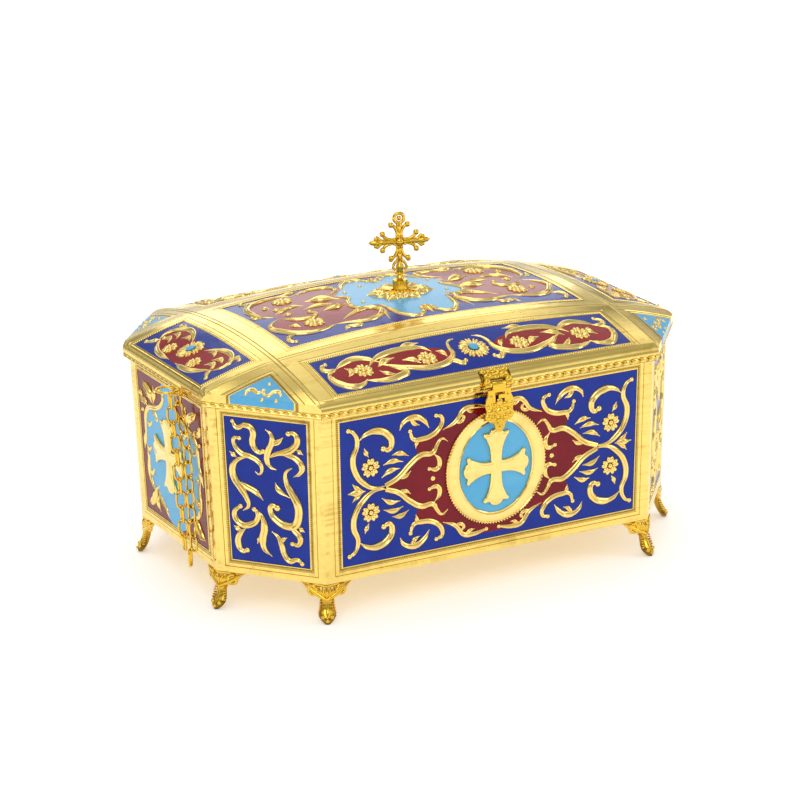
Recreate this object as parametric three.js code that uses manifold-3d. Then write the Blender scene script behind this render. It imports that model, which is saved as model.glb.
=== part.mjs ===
// Octagonal gilt and enamelled reliquary casket with a domed, hinged lid, a hasp, eight cast
// feet, a cross finial and a carrying chain. Millimetres, +Z up, the front looks along -Y.
// The origin is on the ground under the middle of the whole, chain and hinges included.
import * as THREE from 'three';
import { mergeVertices } from 'three/addons/utils/BufferGeometryUtils.js';
import Module from 'manifold-3d';

const wasm = await Module();
wasm.setup();

// ---- driving dimensions ----
const halfLength = 150; // walls at the top edge, along X
const halfWidth = 108; // walls at the top edge, along Y
const cutAlong = 44; // corner cut measured along X
const cutAcross = 53.7; // corner cut measured along Y
const footHeight = 22.5;
const wallHeight = 97;
const wallLean = 0.029; // how far the walls draw in for each millimetre going down
const wallThick = 2.6;
const floorThick = 2.2;
const gap = 0.3; // clearance between pieces that meet
const plate = 0.8; // thickness of an enamel panel
const sunk = 0.2; // panel ground below its frame
const reliefFoot = 0.5; // how deep a raised stroke is rooted below the ground
const reliefCrest = 1.1; // how high a raised stroke stands above the ground
const tipSink = -0.1; // a stroke's tips sink just into the ground

const rimHeight = 3.9;
const rimOut = 3.2;
const lidOut = 3.6; // lid edge beyond the top of the walls
const lidThick = 2.6;
const borderHeight = 4.7; // lid edge, seat to the start of the slopes
const nodeHeight = 16.3; // seat to the four corners of the lid's top panel
const crownAlong = 6.5; // extra rise of the top panel over its length
const crownAcross = 3.4; // and over its width
const slopeBulge = 1.0;
const borderAcross = 4.8; // quarter-oval border along the lid's long sides and ends
const borderRise = 5.6;

const topZ = footHeight + wallHeight;
const rimZ = topZ + gap;
const seatZ = rimZ + rimHeight + gap;
const slant = wallHeight * Math.hypot(1, wallLean);

// ---- colours of the finishes ----
const finishes = {
  gilt: { color: 0xe3bb58, roughness: 0.24, metalness: 1 },
  casting: { color: 0xd8a52c, roughness: 0.3, metalness: 1 },
  blue: { color: 0x14309a, roughness: 0.2, metalness: 0 },
  red: { color: 0x7c0518, roughness: 0.2, metalness: 0 },
  sky: { color: 0x72bfe8, roughness: 0.22, metalness: 0 },
};

const casket = new THREE.Group(); // everything in it is laid out about the middle of the box
const boxOffset = new THREE.Vector3(4.14, 0.2, 0); // the chain reaches further out on the left

function place(name, geometry, finish, parent = casket) {
  const mesh = new THREE.Mesh(geometry, new THREE.MeshStandardMaterial(finishes[finish]));
  mesh.name = name;
  parent.add(mesh);
  return mesh;
}

// ---- solids ----
function toSolid(geometry) {
  const bare = geometry.clone();
  bare.deleteAttribute('normal');
  bare.deleteAttribute('uv');
  const merged = mergeVertices(bare, 1e-4);
  const faces = [];
  for (let i = 0; i < merged.index.count; i += 3) {
    const [a, b, c] = [0, 1, 2].map((k) => merged.index.getX(i + k));
    if (a !== b && b !== c && c !== a) faces.push(a, b, c);
  }
  return new wasm.Manifold(new wasm.Mesh({
    numProp: 3,
    vertProperties: new Float32Array(merged.attributes.position.array),
    triVerts: new Uint32Array(faces),
  }));
}

function toGeometry(solid) {
  const mesh = solid.getMesh();
  const geometry = new THREE.BufferGeometry();
  geometry.setAttribute('position', new THREE.BufferAttribute(mesh.vertProperties, 3));
  geometry.setIndex(new THREE.BufferAttribute(mesh.triVerts, 1));
  geometry.computeVertexNormals();
  return geometry;
}

const joinAll = (solids) => solids.reduce((whole, next) => whole.add(next));

// A closed skin through rings of equal length; the ends are capped, or joined when it loops.
function loft(rings, loops = false) {
  const size = rings[0].length;
  const points = rings.flat();
  const faces = [];
  const quad = (a, b, c, d) => faces.push(a, b, c, a, c, d);
  const last = loops ? rings.length : rings.length - 1;
  for (let r = 0; r < last; r++) {
    const next = (r + 1) % rings.length;
    for (let i = 0; i < size; i++) {
      const j = (i + 1) % size;
      quad(r * size + i, r * size + j, next * size + j, next * size + i);
    }
  }
  if (!loops) {
    const end = (rings.length - 1) * size;
    for (let i = 1; i < size - 1; i++) {
      faces.push(0, i + 1, i);
      faces.push(end, end + i, end + i + 1);
    }
  }
  const geometry = new THREE.BufferGeometry().setFromPoints(points);
  geometry.setIndex(signedVolume(points, faces) < 0 ? faces.reverse() : faces);
  geometry.computeVertexNormals();
  return geometry;
}

function signedVolume(points, faces) {
  let sum = 0;
  for (let i = 0; i < faces.length; i += 3) {
    const [a, b, c] = [points[faces[i]], points[faces[i + 1]], points[faces[i + 2]]];
    sum += a.dot(b.clone().cross(c));
  }
  return sum;
}

function extrude(points, depth) {
  return new THREE.ExtrudeGeometry(new THREE.Shape(points), { depth, bevelEnabled: false });
}

// ---- plan of the casket: an oblong with cut corners, moved outwards by `out` ----
function plan(out) {
  const [x, y] = [halfLength + out, halfWidth + out];
  const normal = new THREE.Vector2(cutAcross, cutAlong).normalize();
  const reach = normal.x * halfLength + normal.y * (halfWidth - cutAcross) + out;
  const cornerY = (reach - normal.x * x) / normal.y;
  const cornerX = (reach - normal.y * y) / normal.x;
  const right = [[x, -cornerY], [x, cornerY], [cornerX, y], [-cornerX, y]];
  const left = right.map(([px, py]) => [-px, -py]);
  return [...right, ...left].map(([px, py]) => new THREE.Vector2(px, py));
}

const planRing = (out, z) => plan(out).map((p) => new THREE.Vector3(p.x, p.y, z));
const drawnIn = (z) => -wallLean * (topZ - z);

// Walls in plan order: each has a frame with u to the right, v up the wall and n outwards,
// whose origin is the middle of the wall's top edge.
const wallNames = [
  'right_end', 'back_right', 'back', 'back_left', 'left_end', 'front_left', 'front', 'front_right',
];

function wallFrame(name) {
  const index = wallNames.indexOf(name);
  const corners = plan(0);
  const a = corners[index];
  const b = corners[(index + 1) % corners.length];
  const along = b.clone().sub(a).normalize();
  const lean = Math.atan(wallLean);
  const u = new THREE.Vector3(along.x, along.y, 0);
  const out = new THREE.Vector3(along.y, -along.x, 0);
  const up = new THREE.Vector3(0, 0, 1);
  const v = up.clone().multiplyScalar(Math.cos(lean)).addScaledVector(out, Math.sin(lean));
  const n = out.clone().multiplyScalar(Math.cos(lean)).addScaledVector(up, -Math.sin(lean));
  const frame = new THREE.Group();
  const matrix = new THREE.Matrix4().makeBasis(u, v, n);
  matrix.setPosition((a.x + b.x) / 2, (a.y + b.y) / 2, topZ);
  matrix.decompose(frame.position, frame.quaternion, frame.scale);
  const foot = plan(drawnIn(footHeight));
  const footLength = foot[index].distanceTo(foot[(index + 1) % foot.length]);
  frame.userData = { matrix, halfTop: a.distanceTo(b) / 2, halfFoot: footLength / 2 };
  return frame;
}

// ---- raised work ----
// One stroke is a ridge through hand-set points that tapers to nothing at both ends.
const stroke = (width, ...points) => ({ width, points });
const mirrorX = (s) => ({ width: s.width, points: s.points.map(([x, y]) => [-x, y]) });
const mirrorY = (s) => ({ width: s.width, points: s.points.map(([x, y]) => [x, -y]) });
const bothSides = (strokes) => [...strokes, ...strokes.map(mirrorX)];
const fourWays = (strokes) => [...bothSides(strokes), ...bothSides(strokes).map(mirrorY)];

const level = () => 0;

function ridge({ width, points }, ground, lift = level) {
  const last = points.length - 1;
  const rings = points.map(([x, y], i) => {
    const [ax, ay] = points[Math.max(i - 1, 0)];
    const [bx, by] = points[Math.min(i + 1, last)];
    const side = new THREE.Vector2(ay - by, bx - ax).normalize();
    const at = (s, z) => {
      const [px, py] = [x + side.x * s, y + side.y * s];
      return new THREE.Vector3(px, py, ground + z + lift(px, py));
    };
    if (i === 0 || i === last) return [at(0, tipSink), at(0, tipSink), at(0, tipSink)];
    return [at(-width / 2, -reliefFoot), at(width / 2, -reliefFoot), at(0, reliefCrest)];
  });
  return toSolid(loft(rings));
}

// A flower is a low peak over a star of petals.
function flower(x, y, radius, petals, ground, lift = level) {
  const ring = [];
  for (let i = 0; i < petals * 2; i++) {
    const angle = (i * Math.PI) / petals;
    const r = i % 2 ? radius * 0.6 : radius;
    ring.push([x + r * Math.cos(angle), y + r * Math.sin(angle)]);
  }
  const at = (scale, z) => ring.map(([px, py]) => {
    const [fx, fy] = [x + (px - x) * scale, y + (py - y) * scale];
    return new THREE.Vector3(fx, fy, z + lift(fx, fy));
  });
  return toSolid(loft([at(1, ground - reliefFoot), at(0, ground + reliefCrest)]));
}

// A flat-topped oval band with sloped edges.
function band(outer, inner, segments, ground, height) {
  const rings = [];
  for (let i = 0; i < segments; i++) {
    const angle = (i * 2 * Math.PI) / segments;
    const at = ([rx, ry], z) => new THREE.Vector3(
      rx * Math.cos(angle), ry * Math.sin(angle), ground + z,
    );
    rings.push([
      at(outer, -reliefFoot), at(outer.map((r) => r - 0.6), height),
      at(inner.map((r) => r + 0.6), height), at(inner, -reliefFoot),
    ]);
  }
  return toSolid(loft(rings, true));
}

// A cross with four flared, pointed arms; reach is half its width and half its height.
function flaredCross(reach, waist, flare, ground, height) {
  const outline = [];
  const armSide = [[0.42, 0.5], [0.84, 0.95], [0.88, 0.6], [1, 0]];
  for (let arm = 0; arm < 4; arm++) {
    const length = reach[arm % 2];
    const angle = (arm * Math.PI) / 2;
    const turn = (x, y) => new THREE.Vector2(x, y).rotateAround(new THREE.Vector2(), angle);
    const out = armSide.map(([l, f], i) => [l * length, (i === 0 ? waist : flare * f) / 2]);
    outline.push(turn(waist / 2, -waist / 2));
    out.forEach(([l, w]) => outline.push(turn(l, -w)));
    out.slice(0, -1).reverse().forEach(([l, w]) => outline.push(turn(l, w)));
  }
  const geometry = extrude(outline, height + reliefFoot);
  geometry.translate(0, 0, ground - reliefFoot);
  return toSolid(geometry);
}

const moved = (solid, x, y) => solid.translate([x, y, 0]);

// ---- ornament of the walls, in millimetres from each panel's centre ----
const frontQuarter = [
  stroke(3.4, [66, 1], [76, 1], [85.5, 9], [88, 22], [88.5, 35.5]),
  stroke(3.8, [85, 28.5], [79.5, 33.5], [70, 33.5], [64.5, 27], [69, 22]),
  stroke(3.6, [69, 1], [58, 6], [47, 14.5], [38.4, 15.6], [30, 22]),
  stroke(2.8, [38, 15], [34.3, 8.5], [41, 5.6]),
  stroke(3.2, [53, 30], [48.5, 24.6], [38.6, 26], [33, 36]),
  stroke(3, [32, 27.5], [14, 38], [4, 36.5]),
  stroke(3.6, [59, 32], [55, 37], [47.5, 37.5], [40.5, 31]),
];
const backQuarter = [
  stroke(4, [66, 1], [82, 5], [88, 20], [84, 34], [70, 32]),
  stroke(3.6, [68, 2], [52, 12], [38, 16], [30, 25]),
];
const cornerStrokes = [
  stroke(3, [-19.8, 39.5], [-16.5, 36.8], [-10.5, 38.5], [-7.3, 34], [-7.8, 28], [-1.8, 24]),
  stroke(3, [-16, 30.3], [-19.3, 27], [-14.5, 21.5], [-6.5, 18.5], [-3.1, 14.5], [-7, 11]),
  stroke(4, [-11.8, 19.5], [-19, 16], [-21, 9.5], [-16.4, 0.7], [-12.6, -7], [-16, -12.6]),
  stroke(3.4, [-18, 5], [-10.5, 1], [-3.1, -5.1]),
  stroke(3.6, [-17.3, -10], [-21, -15], [-15.5, -21], [-8.5, -18.5], [-8, -11.2]),
  stroke(4, [-6.8, -11.8], [-3.4, -20], [-4.5, -30], [0.7, -38]),
  stroke(3.4, [-13, -21], [-19, -28], [-18.8, -35], [-14.3, -36]),
  stroke(3.4, [0, 37], [4, 32.5], [1, 23], [1, 16.5], [5.7, 14]),
  stroke(3.6, [2.5, 21.5], [11.5, 25], [18.5, 30.5], [18.6, 36], [14, 36.2]),
  stroke(3.6, [10.5, 23.8], [17.5, 21.8], [21.3, 17], [16, 11.1]),
  stroke(4.2, [15.3, 16.1], [11.6, 10], [16.4, -2], [18.2, -11], [14.5, -18.2], [5, -16.2], [1.2, -9]),
  stroke(3.4, [11, -18.3], [18, -23.5], [14, -28.9]),
  stroke(3.2, [1.1, -23], [6.2, -28], [9.5, -37.5], [16.5, -38.3], [19, -40.1]),
];
const plainCorner = fourWays([
  stroke(3.8, [3, 3], [15, 10], [16, 22], [6, 23]),
  stroke(3.6, [16, 18], [18, 30], [6, 37]),
]);
const endQuarter = [
  stroke(3, [37.5, 0], [36.5, 17], [26, 25.5], [13, 29], [1, 35]),
  stroke(3.8, [25, 25.5], [32, 30], [38, 28]),
  stroke(4, [25, 26], [28, 33], [35, 38]),
];

function wallPanel(name, wallName, finish, margins, raised) {
  const frame = wallFrame(wallName);
  const { halfTop, halfFoot } = frame.userData;
  const slope = (halfTop - halfFoot) / slant;
  const [topV, footV] = [-margins.top, -slant + margins.foot];
  const half = (v, grow) => halfTop + slope * v - margins.side + grow;
  const outline = (grow) => [
    [-half(footV, grow), footV - grow], [half(footV, grow), footV - grow],
    [half(topV, grow), topV + grow], [-half(topV, grow), topV + grow],
  ].map(([x, y]) => new THREE.Vector2(x, y));
  const centre = (topV + footV) / 2;
  const sheet = extrude(outline(0), plate).translate(0, -centre, -sunk - plate);
  const solid = joinAll([toSolid(sheet), ...raised]);
  const mesh = place(name, toGeometry(solid), finish, frame);
  mesh.position.y = centre;
  casket.add(frame);
  const pocket = extrude(outline(gap), wallThick).translate(0, 0, -sunk - plate - gap);
  return toSolid(pocket.applyMatrix4(frame.userData.matrix));
}

const wallMargins = {
  front: { side: 10.5, top: 3.6, foot: 8.4 },
  corner: { side: 9.8, top: 3.8, foot: 8.3 },
  end: { side: 10.2, top: 3.6, foot: 8.6 },
};
const ground = -sunk;
const ridges = (strokes) => strokes.map((s) => ridge(s, ground));
const emblemShift = 2.5; // the front emblem sits a little right of the middle, as made

function frontRelief() {
  const emblem = [
    band([32.2, 33.8], [23.4, 27], 16, ground, 1.5),
    flaredCross([20.5, 22.4], 7, 17, ground, 1.6),
  ].map((solid) => moved(solid, emblemShift, 0));
  const spots = [[-77, 13], [77, 13], [77, -13], [-77, -13]];
  const flowers = spots.map(([x, y]) => flower(x, y, 6, 5, ground));
  return [...ridges(fourWays(frontQuarter)), ...flowers, ...emblem];
}

function backRelief() {
  return [...ridges(fourWays(backQuarter)), band([32, 33.8], [24, 27], 12, ground, 1.5)];
}

function endRelief() {
  return [...ridges(fourWays(endQuarter)), moved(flaredCross([19, 22], 7.5, 17, ground, 1.6), -2, 0)];
}

function plainEndRelief() {
  return [...ridges(fourWays(endQuarter.slice(0, 1))), flaredCross([19, 22], 7.5, 17, ground, 1.6)];
}

// ---- the box ----
function buildBox() {
  const rimTop = rimZ + rimHeight;
  const outer = loft([planRing(drawnIn(footHeight), footHeight), planRing(drawnIn(rimTop), rimTop)]);
  const floorZ = footHeight + floorThick;
  const inner = loft([
    planRing(drawnIn(floorZ) - wallThick, floorZ),
    planRing(drawnIn(rimTop + 1) - wallThick, rimTop + 1),
  ]);
  const { front, corner, end } = wallMargins;
  const pockets = [
    wallPanel('panel_front', 'front', 'blue', front, frontRelief()),
    wallPanel('panel_back', 'back', 'blue', front, backRelief()),
    wallPanel('panel_left_end', 'left_end', 'red', end, endRelief()),
    wallPanel('panel_right_end', 'right_end', 'red', end, plainEndRelief()),
    wallPanel('panel_front_left', 'front_left', 'blue', corner, ridges(cornerStrokes)),
    wallPanel('panel_front_right', 'front_right', 'blue', corner, ridges(cornerStrokes.map(mirrorX))),
    wallPanel('panel_back_left', 'back_left', 'blue', corner, ridges(plainCorner)),
    wallPanel('panel_back_right', 'back_right', 'blue', corner, ridges(plainCorner)),
  ];
  const box = joinAll([toSolid(inner), ...pockets]);
  place('casket_body', toGeometry(toSolid(outer).subtract(box)), 'gilt');
}

// The laurel band: a rounded strip round the top of the walls.
function buildRim() {
  const profile = [[0.45, 0], [2.2, 0], [rimOut, 1.1], [rimOut, 2.8], [2.2, rimHeight], [0.45, rimHeight]];
  const rings = profile.map(([out, z]) => planRing(out, topZ + gap + z));
  place('laurel_band', loft(rings, true), 'gilt');
}

// ---- the lid ----
// Lid coordinates a and b run from -2 to 2: up to 1 on the top panel, 1 to 2 down a slope.
const fineCells = { slope: 2, along: 4, across: 4 };
const coarseCells = { slope: 1, along: 4, across: 2 };

function lidPoint(a, b, sink) {
  const [edgeX, , cornerX] = plan(lidOut - sink).map((p) => Math.abs(p.x));
  const [cornerY, , edgeY] = plan(lidOut - sink).map((p) => Math.abs(p.y));
  const across = (t, middle, edge) => Math.sign(t) * (Math.abs(t) <= 1
    ? Math.abs(t) * middle : middle + (Math.abs(t) - 1) * (edge - middle));
  const down = Math.max(0, Math.abs(a) - 1) + Math.max(0, Math.abs(b) - 1);
  const crown = crownAlong * (1 - Math.min(1, Math.abs(a)) ** 2)
    + crownAcross * (1 - Math.min(1, Math.abs(b)) ** 2);
  const height = (nodeHeight + crown) * (1 - down) + borderHeight * down
    + 4 * slopeBulge * down * (1 - down);
  return new THREE.Vector3(across(a, cornerX, edgeX), across(b, cornerY, edgeY), seatZ + height - sink);
}

function lidHeight(x, y) {
  const [edgeX, , cornerX] = plan(lidOut).map((p) => Math.abs(p.x));
  const [cornerY, , edgeY] = plan(lidOut).map((p) => Math.abs(p.y));
  const back = (d, middle, edge) => (d <= middle ? d / middle : 1 + (d - middle) / (edge - middle));
  return lidPoint(back(Math.abs(x), cornerX, edgeX), back(Math.abs(y), cornerY, edgeY), 0).z;
}

function lidStations(slope, middle) {
  const stations = [];
  for (let i = -slope; i < 0; i++) stations.push(-1 + i / slope);
  for (let i = 0; i <= middle; i++) stations.push(-1 + (2 * i) / middle);
  for (let i = 1; i <= slope; i++) stations.push(1 + i / slope);
  return stations;
}

// The whole lid as a closed body down to bottomZ, its faces sunk by `sink`.
function lidBody(sink, bottomZ, cells = fineCells) {
  const as = lidStations(cells.slope, cells.along);
  const bs = lidStations(cells.slope, cells.across);
  const over = (a, b) => Math.max(0, Math.abs(a) - 1) + Math.max(0, Math.abs(b) - 1);
  const inside = (i, j) => over(as[i], bs[j]) < 1 + 1e-6;
  const triangles = [];
  const add = (...nodes) => {
    if (!nodes.every(([i, j]) => inside(i, j))) return;
    const top = nodes.map(([i, j]) => lidPoint(as[i], bs[j], sink));
    const low = top.map((p) => new THREE.Vector3(p.x, p.y, bottomZ));
    triangles.push(...top, low[0], low[2], low[1]);
  };
  for (let i = 0; i < as.length - 1; i++) {
    for (let j = 0; j < bs.length - 1; j++) {
      const rising = (as[i] < -1.01 && bs[j] < -1.01) || (as[i] > 0.99 && bs[j] > 0.99);
      if (rising) {
        add([i, j + 1], [i, j], [i + 1, j]);
        add([i + 1, j], [i + 1, j + 1], [i, j + 1]);
      } else {
        add([i, j], [i + 1, j], [i + 1, j + 1]);
        add([i, j], [i + 1, j + 1], [i, j + 1]);
      }
    }
  }
  addLidSides(triangles, as, bs, cells.slope, sink, bottomZ);
  const geometry = new THREE.BufferGeometry().setFromPoints(triangles);
  return toSolid(geometry);
}

function addLidSides(triangles, as, bs, k, sink, bottomZ) {
  const [aEnd, bEnd] = [as.length - 1, bs.length - 1];
  const edge = [];
  for (let i = k; i < aEnd - k; i++) edge.push([i, 0]);
  for (let i = 0; i < k; i++) edge.push([aEnd - k + i, i]);
  for (let j = k; j < bEnd - k; j++) edge.push([aEnd, j]);
  for (let i = 0; i < k; i++) edge.push([aEnd - i, bEnd - k + i]);
  for (let i = aEnd - k; i > k; i--) edge.push([i, bEnd]);
  for (let i = 0; i < k; i++) edge.push([k - i, bEnd - i]);
  for (let j = bEnd - k; j > k; j--) edge.push([0, j]);
  for (let i = 0; i < k; i++) edge.push([i, k - i]);
  edge.forEach(([i, j], n) => {
    const [ni, nj] = edge[(n + 1) % edge.length];
    const a = lidPoint(as[i], bs[j], sink);
    const b = lidPoint(as[ni], bs[nj], sink);
    const low = (p) => new THREE.Vector3(p.x, p.y, bottomZ);
    triangles.push(low(a), low(b), b, low(a), b, a);
  });
}

// The rounded border along the two long sides and the two ends is a quarter oval.
function borderCutters() {
  const [across, rise] = [borderAcross, borderRise];
  const steps = 3;
  const outline = [new THREE.Vector2(-across, rise + 6), new THREE.Vector2(-across, rise)];
  for (let i = 1; i <= steps; i++) {
    const angle = (Math.PI / 2) * (1 - i / steps);
    outline.push(new THREE.Vector2((Math.cos(angle) - 1) * across, Math.sin(angle) * rise));
  }
  outline.push(new THREE.Vector2(0, -2), new THREE.Vector2(4, -2), new THREE.Vector2(4, rise + 6));
  const corners = plan(lidOut);
  return [0, 2, 4, 6].map((index) => {
    const a = corners[index];
    const b = corners[index + 1];
    const bar = extrude(outline, a.distanceTo(b));
    const out = b.clone().sub(a).normalize();
    const matrix = new THREE.Matrix4().makeBasis(
      new THREE.Vector3(out.y, -out.x, 0), new THREE.Vector3(0, 0, 1), new THREE.Vector3(-out.x, -out.y, 0),
    );
    matrix.setPosition(b.x, b.y, seatZ);
    return toSolid(bar.applyMatrix4(matrix));
  });
}

function prism(points) {
  return toSolid(extrude(points, 60).translate(0, 0, seatZ - 20));
}

const rectangle = (x0, y0, x1, y1) => [
  new THREE.Vector2(x0, y0), new THREE.Vector2(x1, y0),
  new THREE.Vector2(x1, y1), new THREE.Vector2(x0, y1),
];

// ---- ornament of the lid, in plan millimetres from each panel's centre ----
const topQuarter = [
  stroke(3.4, [80, 1], [87, 9], [87, 24], [75, 36.5], [56, 33]),
  stroke(3.4, [56, 33], [42, 38], [29, 31], [27.5, 22], [33, 17.5]),
  stroke(3.4, [79, 3], [69, 11], [58, 7]),
  stroke(3.4, [21, 15], [21.5, 32], [12, 41], [5, 36]),
];
const frontLidSide = [
  stroke(3.2, [12, 11], [15.5, -1], [27, -9.6], [43, -7], [58, 2]),
  stroke(3.2, [14, 6.5], [24, 10.6], [44, 10.6], [62, 3]),
  stroke(3.2, [49.5, -5], [60, -12.5], [71, -10]),
  stroke(3.4, [61, 7.5], [74, 10.6], [88, 2.5], [88, -9], [78, -12.5]),
];
const endLidHalf = [
  stroke(2.6, [4.5, 13], [10.5, 22], [10, 32], [10.5, 39]),
  stroke(2.6, [9, 36], [0, 38.5], [-6.5, 35], [-11, 39]),
  stroke(2.6, [-4.5, 22], [2, 27], [1, 35]),
];

// Eight leaves lie round the foot of the cross on top.
function crossLeaves() {
  const leaves = [];
  for (let i = 0; i < 8; i++) {
    const turn = (i * Math.PI) / 4;
    const at = (r) => [r * 1.1 * Math.cos(turn), r * 0.85 * Math.sin(turn)];
    leaves.push(stroke(6.5, at(6.5), at(14), at(22)));
  }
  return leaves;
}

function lidPanel(name, finish, outline, raised, layer) {
  const sheet = prism(outline(0)).intersect(layer);
  place(name, toGeometry(joinAll([sheet, ...raised])), finish);
  return prism(outline(gap));
}

function draped(strokes, cx, cy) {
  return strokes.map((s) => ridge(
    { width: s.width, points: s.points.map(([x, y]) => [x + cx, y + cy]) }, ground - 0.15, lidHeight,
  ));
}

const oblong = (cx, cy, halfX, halfY) => (grow) => rectangle(
  cx - halfX - grow, cy - halfY - grow, cx + halfX + grow, cy + halfY + grow,
);

function triangleOutline(sx, sy) {
  const legX = 118.3;
  const legY = 68.8;
  return (grow) => {
    const [x, y] = [legX - grow, legY - grow];
    const points = [[x, y], [x + 60, y], [x, y + 60]]
      .map(([px, py]) => new THREE.Vector2(sx * px, sy * py));
    return sx * sy > 0 ? points : points.reverse();
  };
}

function buildLid() {
  const outer = lidBody(0, seatZ).subtract(joinAll(borderCutters()));
  const hollow = lidBody(lidThick, seatZ - 1, coarseCells);
  const layer = lidBody(sunk, seatZ).subtract(lidBody(sunk + plate, seatZ - 1));
  const deep = sunk + plate + gap;
  const pockets = [];
  const rosette = (x, y, r, petals) => flower(x, y, r, petals, ground - 0.15, lidHeight);

  const topFlowers = [[72, 25], [72, -25], [-72, 25], [-72, -25]].map(([x, y]) => rosette(x, y, 6, 5));
  pockets.push(lidPanel('lid_panel_top', 'blue', oblong(0, 0, 94, 46),
    [...draped([...fourWays(topQuarter), ...crossLeaves()], 0, 0), ...topFlowers], layer));

  const frontY = 86;
  const backStrokes = frontLidSide.slice(1, 3);
  for (const [name, side, strokes] of [['front', -1, frontLidSide], ['back', 1, backStrokes]]) {
    const flowers = (side < 0 ? [-69.5, -29.5, 29.5, 69.5] : [])
      .map((x) => rosette(x, -frontY - 1.5, 5.5, 5));
    const set = bothSides(strokes).map((s) => (side < 0 ? s : mirrorY(s)));
    pockets.push(lidPanel(`lid_panel_${name}`, 'blue', oblong(0, side * frontY, 94, 17.6),
      [...draped(set, 0, side * frontY), ...flowers, rosette(0, side * frontY, 8.5, 6)], layer));
  }

  const endX = 134;
  for (const [name, side] of [['left', -1], ['right', 1]]) {
    const half = side < 0 ? endLidHalf : endLidHalf.slice(0, 2).map(mirrorX);
    const set = [...half, ...half.map(mirrorY)];
    const flowers = side < 0 ? [-16.4, 16.4].map((y) => rosette(-endX - 6, y, 5, 5)) : [];
    const raised = [...draped(set, side * endX, 0), rosette(side * endX, 0, 7.8, 6), ...flowers];
    const outline = oblong(side * endX, 0, 15.6, 46);
    pockets.push(lidPanel(`lid_panel_${name}_end`, 'blue', outline, raised, layer));
  }

  for (const [name, sx, sy] of [['front_left', -1, -1], ['front_right', 1, -1],
    ['back_right', 1, 1], ['back_left', -1, 1]]) {
    pockets.push(lidPanel(`lid_panel_${name}`, 'sky', triangleOutline(sx, sy), [], layer));
  }
  const cut = joinAll(pockets).subtract(lidBody(deep, seatZ - 30));
  place('lid_shell', toGeometry(outer.subtract(hollow).subtract(cut)), 'gilt');
}

const ball = (radius, x, y, z) => toSolid(new THREE.IcosahedronGeometry(radius, 0).translate(x, y, z));
const bead = (radius, x, y, z) => toSolid(new THREE.OctahedronGeometry(radius, 0).translate(x, y, z));

function turned(profile, sides) {
  const geometry = new THREE.LatheGeometry(profile.map(([r, z]) => new THREE.Vector2(r, z)), sides);
  return toSolid(geometry.rotateX(Math.PI / 2));
}

// A round bar along X between two stations.
function bar(radius, x0, x1, y, z, sides = 8) {
  const geometry = new THREE.CylinderGeometry(radius, radius, x1 - x0, sides);
  return toSolid(geometry.rotateZ(Math.PI / 2).translate((x0 + x1) / 2, y, z));
}

// A plate cut to an outline in Y and Z, lying between two stations along X.
function sidePlate(points, x0, x1) {
  const geometry = extrude(points.map(([y, z]) => new THREE.Vector2(y, z)), x1 - x0);
  const matrix = new THREE.Matrix4().makeBasis(
    new THREE.Vector3(0, 1, 0), new THREE.Vector3(0, 0, 1), new THREE.Vector3(1, 0, 0),
  );
  matrix.setPosition(x0, 0, 0);
  return toSolid(geometry.applyMatrix4(matrix));
}

// A plate cut to an outline in X and Z, its back at y and its face towards -Y.
function facePlate(points, y, thick) {
  const geometry = extrude(points.map(([x, z]) => new THREE.Vector2(x, z)), thick);
  return toSolid(geometry.rotateX(Math.PI / 2).translate(0, y, 0));
}

// ---- feet: a leafy bracket folded round the corner, and a leg that kicks out to its toe ----
// Foot coordinates: origin under the corner, X along the folded corner, Y outwards.
const bracketOutline = [[0, -gap], [16, -gap], [11.4, -2.4], [11, -6.6], [5.4, -8], [3.6, -9.6], [0, -9.6]];
const legStations = [
  { z: 7, out: -3.2, half: 4.4, deep: 2.4 },
  { z: 13, out: -2.6, half: 4.4, deep: 2.2 },
  { z: 16.2, out: -1.2, half: 5.2, deep: 2.5 },
  { z: 19.6, out: 0.6, half: 4.4, deep: 2.5 },
  { z: footHeight, out: 1.8, half: 2.2, deep: 1.8 },
];
const bracketDepth = 4.4;

function footWing(side, fold) {
  const outline = bracketOutline.map(([x, z]) => [side * x, z]);
  return facePlate(outline, -0.6, bracketDepth).rotate([0, 0, -side * fold]);
}

function footSolid(fold) {
  const sides = 5;
  const rings = legStations.map(({ z, out, half, deep }) => {
    const ring = [];
    for (let i = 0; i < sides; i++) {
      const angle = Math.PI / 2 + (i * 2 * Math.PI) / sides;
      ring.push(new THREE.Vector3(half * 1.05 * Math.cos(angle), out + deep * 1.1 * Math.sin(angle), -z));
    }
    return ring;
  });
  return joinAll([footWing(1, fold), footWing(-1, fold), toSolid(loft(rings))]);
}

function buildFeet() {
  const corners = plan(drawnIn(footHeight));
  const names = ['right_front', 'right_back', 'back_right', 'back_left',
    'left_back', 'left_front', 'front_left', 'front_right'];
  corners.forEach((corner, index) => {
    const before = corners[(index + 7) % 8].clone().sub(corner).normalize();
    const after = corners[(index + 1) % 8].clone().sub(corner).normalize();
    const outwards = before.clone().add(after).normalize().negate();
    const fold = 90 - THREE.MathUtils.radToDeg(Math.acos(outwards.clone().negate().dot(after)));
    const solid = footSolid(fold);
    const mesh = place(`foot_${names[index]}`, toGeometry(solid), 'casting');
    mesh.position.set(corner.x, corner.y, footHeight);
    mesh.rotation.z = Math.atan2(outwards.y, outwards.x) - Math.PI / 2;
  });
}

// ---- the cross on top of the lid ----
const crownZ = seatZ + nodeHeight + crownAlong + crownAcross;
const crossTurn = -16; // degrees the cross is turned from square with the front
const crossHeart = 30.5; // centre of the cross above the crown

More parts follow.
